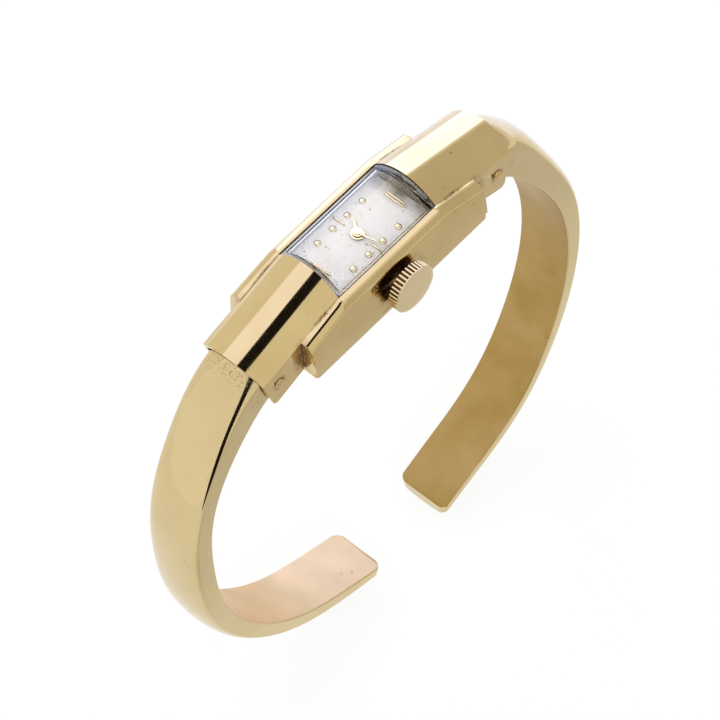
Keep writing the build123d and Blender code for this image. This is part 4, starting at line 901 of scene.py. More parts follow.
def arc(centre: Flat, radius: float, start: float, end: float,
        steps: int) -> list[Flat]:
    """Returns points along an arc, its angles in degrees."""
    angles = [math.radians(start + (end - start) * i / steps) for i in range(steps + 1)]
    return [(centre[0] + radius * math.cos(a), centre[1] + radius * math.sin(a))
            for a in angles]


def arch(middle: float, radius: float, half_width: float, floor: float,
         steps: int) -> list[Flat]:
    """Returns an arch over straight walls, from the foot of one to the other's.

    Args:
        middle: The height of the arch's centre.
        radius: The arch's radius.
        half_width: Half the width over the walls.
        floor: The height of the walls' feet.
        steps: Faces round the arch.

    Returns:
        The section's points.
    """
    lean = math.degrees(math.asin(half_width / radius))
    top = arc((0.0, middle), radius, 90 - lean, 90 + lean, steps)
    return [(half_width, floor), *top, (-half_width, floor)]


def rounded(corners: list[Point], steps: int) -> list[Flat]:
    """Returns a closed outline whose corners are rounded.

    Args:
        corners: Each corner's two coordinates and its radius.
        steps: Faces round each rounded corner.

    Returns:
        The outline's points.
    """
    outline = []
    for i, (x, y, radius) in enumerate(corners):
        corner = Vector((x, y))
        before = Vector(corners[i - 1][:2]) - corner
        after = Vector(corners[(i + 1) % len(corners)][:2]) - corner
        if radius <= 0:
            outline.append((x, y))
            continue
        before.normalize()
        after.normalize()
        half = before.angle(after) / 2
        middle = corner + (before + after).normalized() * (radius / math.sin(half))
        first = corner + before * (radius / math.tan(half)) - middle
        last = corner + after * (radius / math.tan(half)) - middle
        for k in range(steps + 1):
            way = first.lerp(last, k / steps)
            outline.append(tuple(middle + way.normalized() * radius))
    return outline


# Sub-assemblies


@dataclass
class Case:
    """The case band, with a hole for the case tube, and its snap back."""

    half_width: float = 5.42
    half_length: float = 11.92
    top: float = 6.2
    seam: float = 0.9
    edge_half_width: float = 4.95
    side_height: float = 2.0
    bend_radius: float = 16.0
    edge_radius: float = 1.05
    deck_fall: float = 0.08
    roof_slope: float = 14.6
    end_lip: float = 0.07
    roof_blend: float = 0.5
    glass_half: Flat = (3.8, 6.7)
    glass_seat: float = 5.62
    window_half: Flat = (3.42, 6.3)
    dial_half: Flat = (4.28, 7.48)
    dial_seat: float = 5.36
    chamber_half: Flat = (4.72, 10.2)
    chamber_top: float = 4.99
    tube_depth: float = 1.0
    tube_clearance: float = 0.01
    back_inset: float = 0.03
    groove: float = 0.09
    back_radius: float = 0.32
    back_floor: float = 0.55
    rim_top: float = 1.45
    rim_wall: float = 0.42
    rim_clearance: float = 0.02
    corner_radius: float = 0.35

    def roof(self, y: float) -> float:
        """Returns the roof's height at a distance from the middle."""
        past = max(abs(y) - self.glass_half[1], 0.0)
        return self.top - past * math.tan(math.radians(self.roof_slope))

    def ring(self, y: float) -> list[Point]:
        """Returns the band's outline across the watch at a place along it.

        Args:
            y: The place in millimetres.

        Returns:
            The outline's points.
        """
        roof = self.roof(y)
        rise = self.top - self.side_height
        narrowing = self.half_width - self.edge_half_width
        lean = narrowing * (roof - self.side_height) / rise
        right = [
            (self.half_width - self.groove, self.seam, 0.0),
            (self.half_width, self.seam + self.groove, 0.0),
            (self.half_width, self.side_height, self.bend_radius),
            (self.half_width - lean, roof - self.deck_fall, self.edge_radius),
            (self.glass_half[0], roof, 0.0),
        ]
        left = [(-x, z, radius) for x, z, radius in reversed(right)]
        return [(x, y, z) for x, z in rounded(right + left, 7)]

    def build_band(self, palette: Palette) -> None:
        """Makes the case band."""
        half, bend, blend = self.half_length, self.glass_half[1], self.roof_blend
        ends = [-half, -half + self.end_lip, -bend - blend, -bend, -bend + blend]
        places = ends + [-y for y in reversed(ends)]
        band = skin("case_band_shell", [self.ring(y) for y in places])
        over = 2 * self.top
        for name, (width, length), low, high in (
                ("chamber", self.chamber_half, 0, self.chamber_top),
                ("dial_pocket", self.dial_half, 0, self.dial_seat),
                ("window", self.window_half, 0, over),
                ("glass_pocket", self.glass_half, self.glass_seat, over)):
            carve(band, box(name, (-width, -length, low), (width, length, high)))
        low_corner, high_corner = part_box("case_tube")
        low, high = low_corner[2] / MM, high_corner[2] / MM
        radius = (high - low) / 2 + self.tube_clearance
        profile = [(self.edge_half_width - self.tube_depth, radius),
                   (2 * self.half_width, radius)]
        carve(band, lathe("tube_hole", profile, (0, 0, (high + low) / 2), 0, 48))
        soften(band, 0.05, 2, 40.0)
        dress(band, palette.polished_gold, "watch", "gold_plate", "case_band")

    def build_back(self, palette: Palette) -> None:
        """Makes the snap back with its rim."""
        outer = (self.half_width - self.back_inset, self.half_length - self.back_inset)
        chamber, clear = self.chamber_half, self.rim_clearance
        inside = clear + self.rim_wall
        rings = []
        for k in range(7):
            angle = math.pi / 2 * k / 6
            rings.append(self.back_ring(outer, self.back_radius * (1 - math.sin(angle)),
                                        self.back_radius * (1 - math.cos(angle))))
        for half, inset, height in (
                (outer, 0.0, self.seam - self.groove), (outer, self.groove, self.seam),
                (chamber, clear, self.seam), (chamber, clear, self.rim_top),
                (chamber, inside, self.rim_top), (chamber, inside, self.back_floor)):
            rings.append(self.back_ring(half, inset, height))
        back = skin("case_back_plate", rings)
        dress(back, palette.satin_gold, "watch", "gold_satin", "case_back")

    def back_ring(self, half: Flat, inset: float, z: float) -> list[Point]:
        """Returns a level ring of the back with small round corners.

        Args:
            half: Half the width and half the length of the ring's own part.
            inset: How far the ring lies inside them.
            z: Its height.

        Returns:
            The ring's points.
        """
        w, l, r = half[0] - inset, half[1] - inset, self.corner_radius
        corners = [(w, -l, r), (w, l, r), (-w, l, r), (-w, -l, r)]
        return [(x, y, z) for x, y in rounded(corners, 5)]


@dataclass
class AtOneEnd:
    """Something that the watch has once at 12, its side 1, and once at 6, side -1."""

    side: int
    hinge: Flat = field(default=(15.15, 2.03), kw_only=True)

    @property
    def hour(self) -> str:
        """The hour that it is at."""
        return "12" if self.side > 0 else "6"


@dataclass
class Hood(AtOneEnd):
    """A sloping tunnel of bent gold sheet over the root of one arm."""

    radius: float = 5.002
    wall: float = 0.45
    bulkhead: float = 0.4
    half_width: float = 3.8
    start: float = 6.7
    end: float = 17.6
    foot: float = -0.7
    heel: float = 0.6
    foot_radius: float = 0.55
    clear: float = 11.96
    roof_height: float = 6.2
    slope: float = 14.6
    hole_radius: float = 0.43
    arch_steps: int = 64
    tool_half: float = 8.0

    @property
    def arch_drop(self) -> float:
        """How far the arch's centre lies under the roof's line."""
        return math.sqrt(self.radius**2 - self.half_width**2)

    def tunnel(self, name: str, radius: float, half_width: float,
               near: float) -> Object:
        """Returns a long solid along the hood's slope.

        Args:
            name: The solid's name.
            radius: The arch's radius.
            half_width: Half its width.
            near: Where it starts, along the slope.

        Returns:
            The solid.
        """
        tilt = math.radians(self.slope)
        along = Vector((0, self.side * math.cos(tilt), -math.sin(tilt)))
        up = Vector((0, self.side * math.sin(tilt), math.cos(tilt)))
        origin = Vector((0, self.side * self.start, self.roof_height)) + along * near
        section = arch(-self.arch_drop, radius, half_width, -3 * self.radius,
                       self.arch_steps)
        outline = [tuple(origin + Vector((x, 0, 0)) + up * height)
                   for x, height in section]
        return prism(name, outline, tuple(along * 6 * self.radius))

    def build(self, palette: Palette) -> None:
        """Makes the hood."""
        shell = self.tunnel(
            "hood_" + self.hour + "_shell", self.radius, self.half_width, -12.0)
        tilt = math.tan(math.radians(self.slope))
        above = 2 * self.radius
        fall = (self.end - self.start) * tilt
        crest = self.roof_height - fall + self.radius - self.arch_drop
        high, far = crest + above, self.end + above * tilt
        outline = rounded([
            (self.start, self.roof_height, 0), (self.start, high, 0), (far, high, 0),
            (self.end - (crest - self.foot) * tilt, self.foot, self.foot_radius),
            (self.clear, self.heel, 0),
            (self.clear, self.roof_height - (self.clear - self.start) * tilt, 0),
        ], 8)
        half = self.tool_half
        outline = [(-half, self.side * y, z) for y, z in outline]
        carve(shell, prism("side", outline, (2 * half, 0, 0)), Cut.KEEP_SHARED)
        hollow = self.tunnel(
            "hollow", self.radius - self.wall, self.half_width - self.wall, -2.0)
        behind = self.start + self.bulkhead
        low, high = sorted((self.side * behind, self.side * 60.0))
        carve(hollow, box("behind", (-9, low, -60), (9, high, 60)), Cut.KEEP_SHARED)
        carve(shell, hollow)
        y, z = self.hinge
        profile = [(-half, self.hole_radius), (half, self.hole_radius)]
        carve(shell, lathe("rivet_hole", profile, (0, self.side * y, z), 0, 32))
        soften(shell, 0.09, 3, 34.0)
        dress(shell, palette.polished_gold, "watch", "gold_plate", "hood_" + self.hour)


@dataclass
class Arm(AtOneEnd):
    """One tapering bracelet arm: flat inside, domed outside, with a soft shoulder.

    Its shares say, at thirteen places from the case to the tip, how far it has come
    of its reach and drop, and how high its straight side and its dome are.
    """

    reach: float
    drop: float
    shares: list[tuple[float, float, float, float]]
    width: float = 6.3
    edge: float = 3.0
    crown: float = 1.32
    start: float = 11.92
    dome_power: float = 2.02
    dome_steps: int = 22
    inner_radius: float = 0.14
    tip_radius: float = 1.0
    tip_steps: int = 10
    tip_slant: float = 0.0
    slant_reach: float = 2.5
    stations: int = 150
    easing: int = 5
    bore_radius: float = 0.48
    seat_half_width: float = 1.45
    seat_end: float = 16.7
    seat_height: float = 4.2
    seat_top: float = 12.0
    opening: float = 14.0
    inner_facing: float = 0.8

    def rows(self) -> np.ndarray:
        """Returns evenly spaced rows of y, z, edge and crown along a smooth curve."""
        table = np.array([
            (self.start + self.reach * y, -self.drop * z, self.edge * e, self.crown * c)
            for y, z, e, c in self.shares])
        steps = np.hypot(*np.diff(table[:, :2], axis=0).T)
        knots = np.concatenate([[0.0], np.cumsum(steps)])
        places = np.linspace(0.0, knots[-1], self.stations)
        rows = natural_spline(knots, table, places)
        return eased(rows, self.easing)

    def section(self, half: float, edge: float, crown: float) -> list[Flat]:
        """Returns the arm's section, from the inner face round the dome.

        Args:
            half: Half its width here, which is less round the tip.
            edge: The height of the straight side.
            crown: The dome's rise over it at full width.

        Returns:
            Points across and out.
        """
        full, power = self.width / 2, self.dome_power
        right = []
        for k in range(self.dome_steps):
            turn = math.pi / 2 * k / self.dome_steps
            x = half * math.cos(turn)**(2 / power)
            right.append((x, edge + crown * math.sqrt(max(1 - (x / full)**power, 0.0))))
        inner = min(self.inner_radius, 0.3 * half)
        low = rounded([(-half, 1.0, 0), (-half, 0.0, inner), (half, 0.0, inner),
                       (half, 1.0, 0)], 3)[1:-1]
        left = [(-x, y) for x, y in reversed(right)]
        return low + right + [(0.0, edge + crown)] + left

    def rings(self, rows: np.ndarray) -> list[list[Point]]:
        """Returns the arm's rings, drawn in round the tip's corners.

        Args:
            rows: The curve's rows.

        Returns:
            The rings from the case to the tip.
        """
        lengths = np.hypot(*np.diff(rows[:, :2], axis=0).T)
        from_tip = np.concatenate([np.cumsum(lengths[::-1])[::-1], [0.0]])
        tip, steps = self.tip_radius, self.tip_steps
        rounding = [tip * (1 - math.sin(math.pi / 2 * k / steps))
                    for k in range(steps + 1)]
        places = np.concatenate([from_tip[from_tip > tip], rounding])
        order = from_tip[::-1]
        sizes = np.array([np.interp(places, order, rows[::-1, c]) for c in range(4)]).T
        slopes = np.gradient(rows[:, :2], axis=0)
        ways = np.array([np.interp(places, order, slopes[::-1, c]) for c in range(2)]).T
        rings = []
        for place, (y, z, edge, crown), (way_y, way_z) in zip(places, sizes, ways):
            length = math.hypot(way_y, way_z)
            out = (-way_z / length, way_y / length)
            half = self.width / 2
            if place < tip:
                half -= tip - math.sqrt(max(tip**2 - (tip - place)**2, 0.0))
            slant = self.tip_slant * max(1.0 - place / self.slant_reach, 0.0)
            ring = []
            for x, height in self.section(half, edge, crown):
                back = slant * (edge + crown - height) / length
                ring.append((x, self.side * (y + out[0] * height - way_y * back),
                             z + out[1] * height - way_z * back))
            rings.append(ring)
        return rings

    def build(self, palette: Palette) -> None:
        """Makes the arm, with room for its spring at rest and opened."""
        rows = self.rows()
        arm = skin("arm_" + self.hour + "_strip", self.rings(rows))
        y, z = self.side * self.hinge[0], self.hinge[1]
        profile = [(-8.0, self.bore_radius), (8.0, self.bore_radius)]
        carve(arm, lathe("bore", profile, (0, y, z), 0, 40))
        low, high = sorted((self.side * self.start, self.side * self.seat_end))
        corners = ((-self.seat_half_width, low, self.seat_height),
                   (self.seat_half_width, high, self.seat_top))
        carve(arm, box("seat", *corners))
        opened = box("opened_seat", *corners)
        pivot = Matrix.Translation(Vector((0.0, y, z)) * MM)
        turn = Matrix.Rotation(math.radians(-self.side * self.opening), 4, "X")
        opened.data.transform(pivot @ turn @ pivot.inverted())
        carve(arm, opened)
        dress(arm, palette.arm_gold[self.hour], "arm_" + self.hour + "_body",
              "gold_plate", "arm_" + self.hour)
        self.mark_inner(arm, rows)

    def mark_inner(self, arm: Object, rows: np.ndarray) -> None:
        """Marks the faces that lie against the wrist, for the worn satin finish.

        Args:
            arm: The finished arm.
            rows: The curve's rows.
        """
        line = np.stack([self.side * rows[:, 0], rows[:, 1]], axis=1) * MM
        way = np.gradient(line, axis=0)
        way /= np.linalg.norm(way, axis=1)[:, None]
        marks = arm.data.attributes.new("inner_face", "FLOAT", "FACE")
        for i, face in enumerate(arm.data.polygons):
            centre = np.array([face.center.y, face.center.z])
            near = int(np.argmin(((line - centre)**2).sum(axis=1)))
            inward = np.array([way[near][1], -way[near][0]]) * self.side
            facing = float(inward @ np.array([face.normal.y, face.normal.z]))
            marks.data[i].value = 1.0 if facing > self.inner_facing else 0.0


def natural_spline(knots: np.ndarray, table: np.ndarray,
                   places: np.ndarray) -> np.ndarray:
    """Returns a smooth curve through a table's rows.

    Args:
        knots: Each row's distance along the curve.
        table: The rows.
        places: The distances to work out.

    Returns:
        One row for each place.
    """
    count = len(knots)
    gaps = np.diff(knots)
    system = np.eye(count)
    right = np.zeros_like(table)
    for i in range(1, count - 1):
        system[i, i - 1], system[i, i], system[i, i + 1] = (
            gaps[i - 1], 2 * (gaps[i - 1] + gaps[i]), gaps[i])
        slope_after = (table[i + 1] - table[i]) / gaps[i]
        slope_before = (table[i] - table[i - 1]) / gaps[i - 1]
        right[i] = 6 * (slope_after - slope_before)
    bends = np.linalg.solve(system, right)
    rows = []
    for place in places:
        i = min(max(int(np.searchsorted(knots, place)) - 1, 0), count - 2)
        gap, a, b = gaps[i], knots[i + 1] - place, place - knots[i]
        rows.append(
            (bends[i] * a**3 + bends[i + 1] * b**3) / (6 * gap)
            + (table[i] / gap - bends[i] * gap / 6) * a
            + (table[i + 1] / gap - bends[i + 1] * gap / 6) * b)
    return np.array(rows)


def eased(rows: np.ndarray, reach: int, rounds: int = 6) -> np.ndarray:
    """Returns rows with small waves taken out.

    Each round smooths the rows and then sharpens them a little more, so that they
    don't shrink. The first and the last row are kept.

    Args:
        rows: The rows.
        reach: How many rows to each side are averaged.
        rounds: How often it is done.

    Returns:
        The eased rows.
    """
    result = rows.copy()
    for step in (1.0, -1.02) * rounds:
        average = result.copy()
        for i in range(1, len(result) - 1):
            k = min(reach, i, len(result) - 1 - i)
            average[i] = result[i - k:i + k + 1].mean(axis=0)
        result = result + step * (average - result)
    return result


@dataclass
class Glass:
    """The arched acrylic glass, a box open below."""

    radius: float = 4.9
    half_width: float = 3.75
    half_length: float = 6.65
    wall: float = 0.6
    seat: float = 5.62
    spring_height: float = 6.2
    hood_radius: float = 5.0
    hood_half_width: float = 3.8

    def block(self, name: str, inset: float, seat: float) -> Object:
        """Returns an arched block.

        Args:
            name: The block's name.
            inset: How far it lies inside the glass's outside.
            seat: The height of its underside.

        Returns:
            The block.
        """
        drop = math.sqrt(self.hood_radius**2 - self.hood_half_width**2)
        section = arch(self.spring_height - drop, self.radius - inset,
                       self.half_width - inset, seat, 48)
        length = self.half_length - inset
        near = [(x, -length, z) for x, z in section]
        return prism(name, near, (0, 2 * length, 0))

    def build(self, palette: Palette) -> None:
        """Makes the glass."""
        glass = self.block("arched_glass", 0.0, self.seat)
        soften(glass, 0.06, 3, 40.0)
        carve(glass, self.block("inside", self.wall, self.seat - 1))
        dress(glass, palette.glass, "watch", "clear_glass", "crystal")


@dataclass
class Rivet(AtOneEnd):
    """The two raised heads and the shank of one arm's hinge."""

    shank_radius: float = 0.42
    head_radius: float = 0.54
    head_start: float = 3.81
    head_end: float = 4.08
    dome: tuple[Flat, ...] = (
        (0.0, 1.0), (0.35, 0.97), (0.7, 0.8), (0.93, 0.5), (1.0, 0.12))

    def build(self, palette: Palette) -> None:
        """Makes the rivet."""
        rise = self.head_end - self.head_start
        right = [(self.head_start + x * rise, r * self.head_radius)
                 for x, r in self.dome]
        shank = [(-self.head_start, self.shank_radius),
                 (self.head_start, self.shank_radius)]
        profile = [(-x, r) for x, r in reversed(right)] + shank + right
        centre = (0, self.side * self.hinge[0], self.hinge[1])
        rivet = lathe("hinge_rivet_" + self.hour, profile, centre, 0, 32)
        dress(rivet, palette.rivet_gold, "watch", "gold_plate",
              "hinge_pin_" + self.hour, crease=50.0)


# Geometry Nodes


class Pattern(Wiring):
    """A geometry tree that sets copies of one shape."""

    def __init__(self, name: str, inputs: dict[str, tuple[str, object]]) -> None:
        """Starts a tree with named inputs.

        Args:
            name: The tree's name.
            inputs: Each input's socket kind and value.
        """
        super().__init__(bpy.data.node_groups.new(name, "GeometryNodeTree"))
        face = self.tree.interface
        face.new_socket("Geometry", in_out="OUTPUT", socket_type="NodeSocketGeometry")
        self.values: dict[str, object] = {}
        for key, (kind, value) in inputs.items():
            socket = face.new_socket(key, in_out="INPUT", socket_type=kind)
            self.values[socket.identifier] = value
        self.source = self.add("NodeGroupInput")

    def finish(self, geometry: Socket) -> None:
        """Ends the tree with real meshes and their material."""
        real = self.add("GeometryNodeRealizeInstances")
        paint = self.add("GeometryNodeSetMaterial")
        out = self.add("NodeGroupOutput")
        self.join(geometry, real.inputs[0])
        self.join(real.outputs[0], paint.inputs["Geometry"])
        self.join(self.source.outputs["Material"], paint.inputs["Material"])
        self.join(paint.outputs[0], out.inputs[0])

    def piece(self, name: str) -> Object:
        """Returns an object with the tree's result as plain mesh."""
        piece = new_piece(name, bpy.data.meshes.new(name))
        modifier = piece.modifiers.new(name, "NODES")
        modifier.node_group = self.tree
        for identifier, value in self.values.items():
            modifier[identifier] = value
        settle(piece)
        tidy(piece.data)
        return piece


def ring_pattern(name: str, shape: Object, material: Material, count: int,
                 radius: float) -> Pattern:
    """Returns a tree that sets copies of a shape in a ring about Z.

    Args:
        name: The tree's name.
        shape: The shape, made at the origin with +X outwards.
        material: The copies' finish.
        count: How many copies there are.
        radius: The ring's radius in metres.

    Returns:
        The tree.
    """
    tree = Pattern(name, {
        "Count": ("NodeSocketInt", count),
        "Radius": ("NodeSocketFloat", radius),
        "Shape": ("NodeSocketObject", shape),
        "Material": ("NodeSocketMaterial", material),
    })
    circle = tree.add("GeometryNodeMeshCircle")
    tree.join(tree.source.outputs["Count"], circle.inputs["Vertices"])
    tree.join(tree.source.outputs["Radius"], circle.inputs["Radius"])
    info = tree.add("GeometryNodeObjectInfo")
    tree.join(tree.source.outputs["Shape"], info.inputs["Object"])
    place = tree.add("GeometryNodeInputPosition")
    align = tree.add("FunctionNodeAlignRotationToVector", axis="X")
    tree.join(place.outputs[0], align.inputs["Vector"])
    copies = tree.add("GeometryNodeInstanceOnPoints")
    tree.join(circle.outputs["Mesh"], copies.inputs["Points"])
    tree.join(info.outputs["Geometry"], copies.inputs["Instance"])
    tree.join(align.outputs["Rotation"], copies.inputs["Rotation"])
    tree.finish(copies.outputs[0])
    return tree


def places_pattern(name: str, shape: Object, places: Object,
                   material: Material) -> Pattern:
    """Returns a tree that sets a shape on every point of another mesh.

    Args:
        name: The tree's name.
        shape: The shape, made at the origin.
        places: The mesh whose points are used.
        material: The copies' finish.

    Returns:
        The tree.
    """
    tree = Pattern(name, {
        "Shape": ("NodeSocketObject", shape),
        "Places": ("NodeSocketObject", places),
        "Size": ("NodeSocketFloat", 1.0),
        "Material": ("NodeSocketMaterial", material),
    })
    dots = tree.add("GeometryNodeObjectInfo")
    info = tree.add("GeometryNodeObjectInfo")
    tree.join(tree.source.outputs["Places"], dots.inputs["Object"])
    tree.join(tree.source.outputs["Shape"], info.inputs["Object"])
    points = tree.add("GeometryNodeMeshToPoints")
    tree.join(dots.outputs["Geometry"], points.inputs["Mesh"])
    copies = tree.add("GeometryNodeInstanceOnPoints")
    tree.join(points.outputs[0], copies.inputs["Points"])
    tree.join(info.outputs["Geometry"], copies.inputs["Instance"])
    tree.join(tree.source.outputs["Size"], copies.inputs["Scale"])
    tree.finish(copies.outputs[0])
    return tree


def merge(name: str, pieces: list[Object]) -> Object:
    """Returns one piece made of several."""
    work = bmesh.new()
    for piece in pieces:
        work.from_mesh(piece.data)
    mesh = bpy.data.meshes.new(name)
    work.to_mesh(mesh)
    work.free()
    forget(*pieces)
    return new_piece(name, mesh)


def spread(name: str, shape: Object, spots: list[Point], material: Material) -> Object:
    """Sets copies of a shape at several spots.

    Args:
        name: The piece's name.
        shape: The shape, made at the origin. It is used up.
        spots: The copies' places in millimetres.
        material: Their finish.

    Returns:
        The piece that all the copies make.
    """
    places = solid(name + "_places", spots, [])
    piece = places_pattern(name + "_tree", shape, places, material).piece(name)
    forget(shape, places)
    return piece


@dataclass
class Crown:
    """The winding crown: a domed disc with raised, round-topped ribs about its rim.

    The face's profile gives places along X from the rim's line, and how far each lies
    inside the face's radius.
    """

    start: float = 5.87
    end: float = 7.17
    radius: float = 2.56
    height: float = 3.08
    ribs: int = 36
    rib_half_width: float = 0.115
    rib_depth: float = 0.36
    groove_depth: float = 0.3
    face_rise: float = 0.16
    face_inset: float = 0.02
    face_profile: tuple[Flat, ...] = (
        (-0.1, 0.03), (-0.07, 0.0), (-0.02, 0.0), (0.03, 0.05), (0.07, 0.16),
        (0.1, 0.36), (0.125, 0.7), (0.145, 1.2), (0.16, 1.8))
    recess_radius: float = 1.05
    recess_depth: float = 0.5
    bore_radius: float = 0.43
    bore_end: float = 6.92

    def profile(self) -> list[Flat]:
        """Returns the places along X and the radii of the disc, from the bore out."""
        core, face = self.radius - self.groove_depth, self.radius - self.face_inset
        rim, deep = self.end - self.face_rise, self.start + self.recess_depth
        return [
            (self.bore_end, 0.02), (self.bore_end, self.bore_radius),
            (deep, self.bore_radius), (deep, self.recess_radius),
            (self.start, self.recess_radius), (self.start, core - 0.1),
            (self.start + 0.1, core), (rim - 0.12, core),
            *((rim + x, face - inset) for x, inset in self.face_profile),
            (self.end, 0.05),
        ]

    def build(self, palette: Palette) -> None:
        """Makes the crown."""
        body = lathe("crown_body", self.profile(), (0, 0, self.height), 0, 108)
        body.data.materials.append(palette.crown_gold)
        body.data.materials.append(palette.crown_groove)
        low = (self.start - 0.01) * MM
        high = (self.end - self.face_rise - 0.11) * MM
        # The crown's core between the ribs gets the painted shade of the grooves.
        for facet in body.data.polygons:
            middle = facet.center
            away = math.hypot(middle.y, middle.z - self.height * MM)
            if low < middle.x < high and away > (self.recess_radius + 0.1) * MM:
                facet.material_index = 1
        rib = self.rib()
        ring = (self.radius - self.rib_depth / 2) * MM
        tree = ring_pattern("crown_ribs_tree", rib, palette.crown_gold, self.ribs, ring)
        ribs = tree.piece("ribs")
        forget(rib)
        for facet in ribs.data.polygons:
            facet.material_index = 0
        turn = Matrix.Rotation(math.radians(90), 4, "Y")
        ribs.data.transform(Matrix.Translation((0, 0, self.height * MM)) @ turn)
        crown = merge("ribbed_crown", [body, ribs])
        dress(crown, palette.crown_gold, "crown_body", "gold_satin", "crown",
              crease=40.0, second=palette.crown_groove)

    def rib(self) -> Object:
        """Returns one rib along Z at the origin, its rounded top towards +X."""
        low, high = self.start + 0.03, self.end - self.face_rise - 0.08
        w, d = self.rib_half_width, self.rib_depth / 2
        outline = [(-d, -w), *arc((d - w, 0.0), w, -90, 90, 8), (-d, w)]
        rings = []
        for z, size in ((low, 0.7), (low + 0.08, 1.0), (high, 1.0)):
            rings.append([((x + d) * size - d, y * size, z) for x, y in outline])
        return skin("rib", rings)


@dataclass(frozen=True)
class HandSizes:
    """A hand's sizes in millimetres, and the way it points from +X in degrees."""

    height: float
    rise: float
    length: float
    width: float
    boss: float
    bore: float
    angle: float
    tip: float = 0.05
    shoulder: float = 0.55
    swell: float = 0.8


@dataclass
class DialSet:
    """The dial's applied markers and the two hands."""

    top: float = 5.34
    dot_radius: float = 0.36
    dot_rise: float = 0.2
    dot_places: tuple[Flat, ...] = ((2.2, 1.0), (2.2, 3.1))
    dot_profile: tuple[Flat, ...] = (
        (0.0, 1.0), (0.25, 1.0), (0.45, 0.93), (0.75, 0.72), (0.93, 0.42), (1.0, 0.06))
    bar_width: float = 0.2
    bar_rise: float = 0.16
    side_bar: Flat = (1.6, 3.1)
    end_bar_half: float = 1.15
    end_bar_y: float = 5.2
    end_bar_pitch: float = 0.34
    hour: HandSizes = HandSizes(5.52, 0.1, 2.1, 0.34, 0.7, 0.49, 143.5)
    minute: HandSizes = HandSizes(5.7, 0.09, 3.1, 0.24, 0.5, 0.34, 12.0)

    def build_dots(self, palette: Palette) -> None:
        """Makes the eight domed hour dots."""
        profile = [(x * self.dot_rise, r * self.dot_radius)
                   for x, r in self.dot_profile]
        dome = lathe("dot", profile, (0, 0, 0), 2, 28)
        spots = [(sx * x, sy * y, self.top) for x, y in self.dot_places
                 for sx in (-1, 1) for sy in (-1, 1)]
        dots = spread("domed_dots", dome, spots, palette.marker_gold)
        dress(dots, palette.marker_gold, "watch", "marker_gold", "hour_dots",
              crease=50.0)

    def bar(self, name: str, length: float) -> Object:
        """Returns one long marker with a ridged top, along X at the origin."""
        w, rise = self.bar_width / 2, self.bar_rise
        section = [(-w, 0.0), (w, 0.0), (w, 0.45 * rise), (0.35 * w, rise),
                   (-0.35 * w, rise), (-w, 0.45 * rise)]
        rings = []
        for share, size in ((-1.0, 0.4), (-0.94, 1.0), (0.94, 1.0), (1.0, 0.4)):
            rings.append([(share * length / 2, y * size, z * (0.5 + 0.5 * size))
                          for y, z in section])
        bar = skin(name, rings)
        soften(bar, 0.02, 2, 30.0)
        return bar

    def build_bars(self, palette: Palette) -> None:
        """Makes the bars at 12, 3, 6 and 9."""
        y, half_pitch = self.end_bar_y, self.end_bar_pitch / 2
        spots = [(0.0, sy * y + shift * half_pitch, self.top) for sy in (-1, 1)
                 for shift in (-1, 1)]
        long_bar = self.bar("long_bar", 2 * self.end_bar_half)
        ends = spread("end_bars", long_bar, spots, palette.marker_gold)
        start, end = self.side_bar
        spots = [(side * (start + end) / 2, 0.0, self.top) for side in (-1, 1)]
        short_bar = self.bar("short_bar", end - start)
        sides = spread("side_bars", short_bar, spots, palette.marker_gold)
        bars = merge("ridged_bars", [ends, sides])
        dress(bars, palette.marker_gold, "watch", "marker_gold", "hour_bars")

    def hand(self, name: str, sizes: HandSizes) -> Object:
        """Returns a hand with a round, bored boss.

        Args:
            name: The piece's name.
            sizes: The hand's sizes.

        Returns:
            The hand.
        """
        w, waist = sizes.width / 2, sizes.shoulder * sizes.length
        swell = sizes.swell * w
        open_half = math.degrees(math.asin(w / sizes.boss))
        outline = [(waist, -swell), (sizes.length, -sizes.tip),
                   (sizes.length, sizes.tip), (waist, swell),
                   *arc((0.0, 0.0), sizes.boss, open_half, 360 - open_half, 44)]
        points = [(x, y, sizes.height) for x, y in outline]
        hand = prism(name, points, (0, 0, sizes.rise))
        profile = [(sizes.height - 1, sizes.bore), (sizes.height + 1, sizes.bore)]
        carve(hand, lathe("bore", profile, (0, 0, 0), 2, 36))
        soften(hand, 0.035, 3, 40.0)
        hand.data.transform(Matrix.Rotation(math.radians(sizes.angle), 4, "Z"))
        return hand

    def build_hands(self, palette: Palette) -> None:
        """Makes the hour hand and the minute hand."""
        hour = self.hand("hour_hand_piece", self.hour)
        dress(hour, palette.marker_gold, "hour_body", "dark_hand", "hour_hand")
        minute = self.hand("minute_hand_piece", self.minute)
        dress(minute, palette.marker_gold, "centre_body", "dark_hand", "minute_hand")


def paint_nodes(palette: Palette, shown: set[str]) -> None:
    """Gives the CAD nodes that stay their finishes.

    Args:
        palette: The finishes.
        shown: The nodes that a finer piece stands for.
    """
    special = {"dial": palette.dial, "case_tube": palette.satin_gold,
               "cannon_pinion": palette.marker_gold}
    for part in frame["record"]["subparts"]:
        name, slot = part["node"], part["material_slot"]
        if name in shown:
            continue
        material = special.get(name) or palette.movement[slot]
        node = frame["nodes"][name]
        node.data.materials.clear()
        node.data.materials.append(material)
        log.info("%s keeps its CAD mesh, in %s", name, material.name)


# Studio


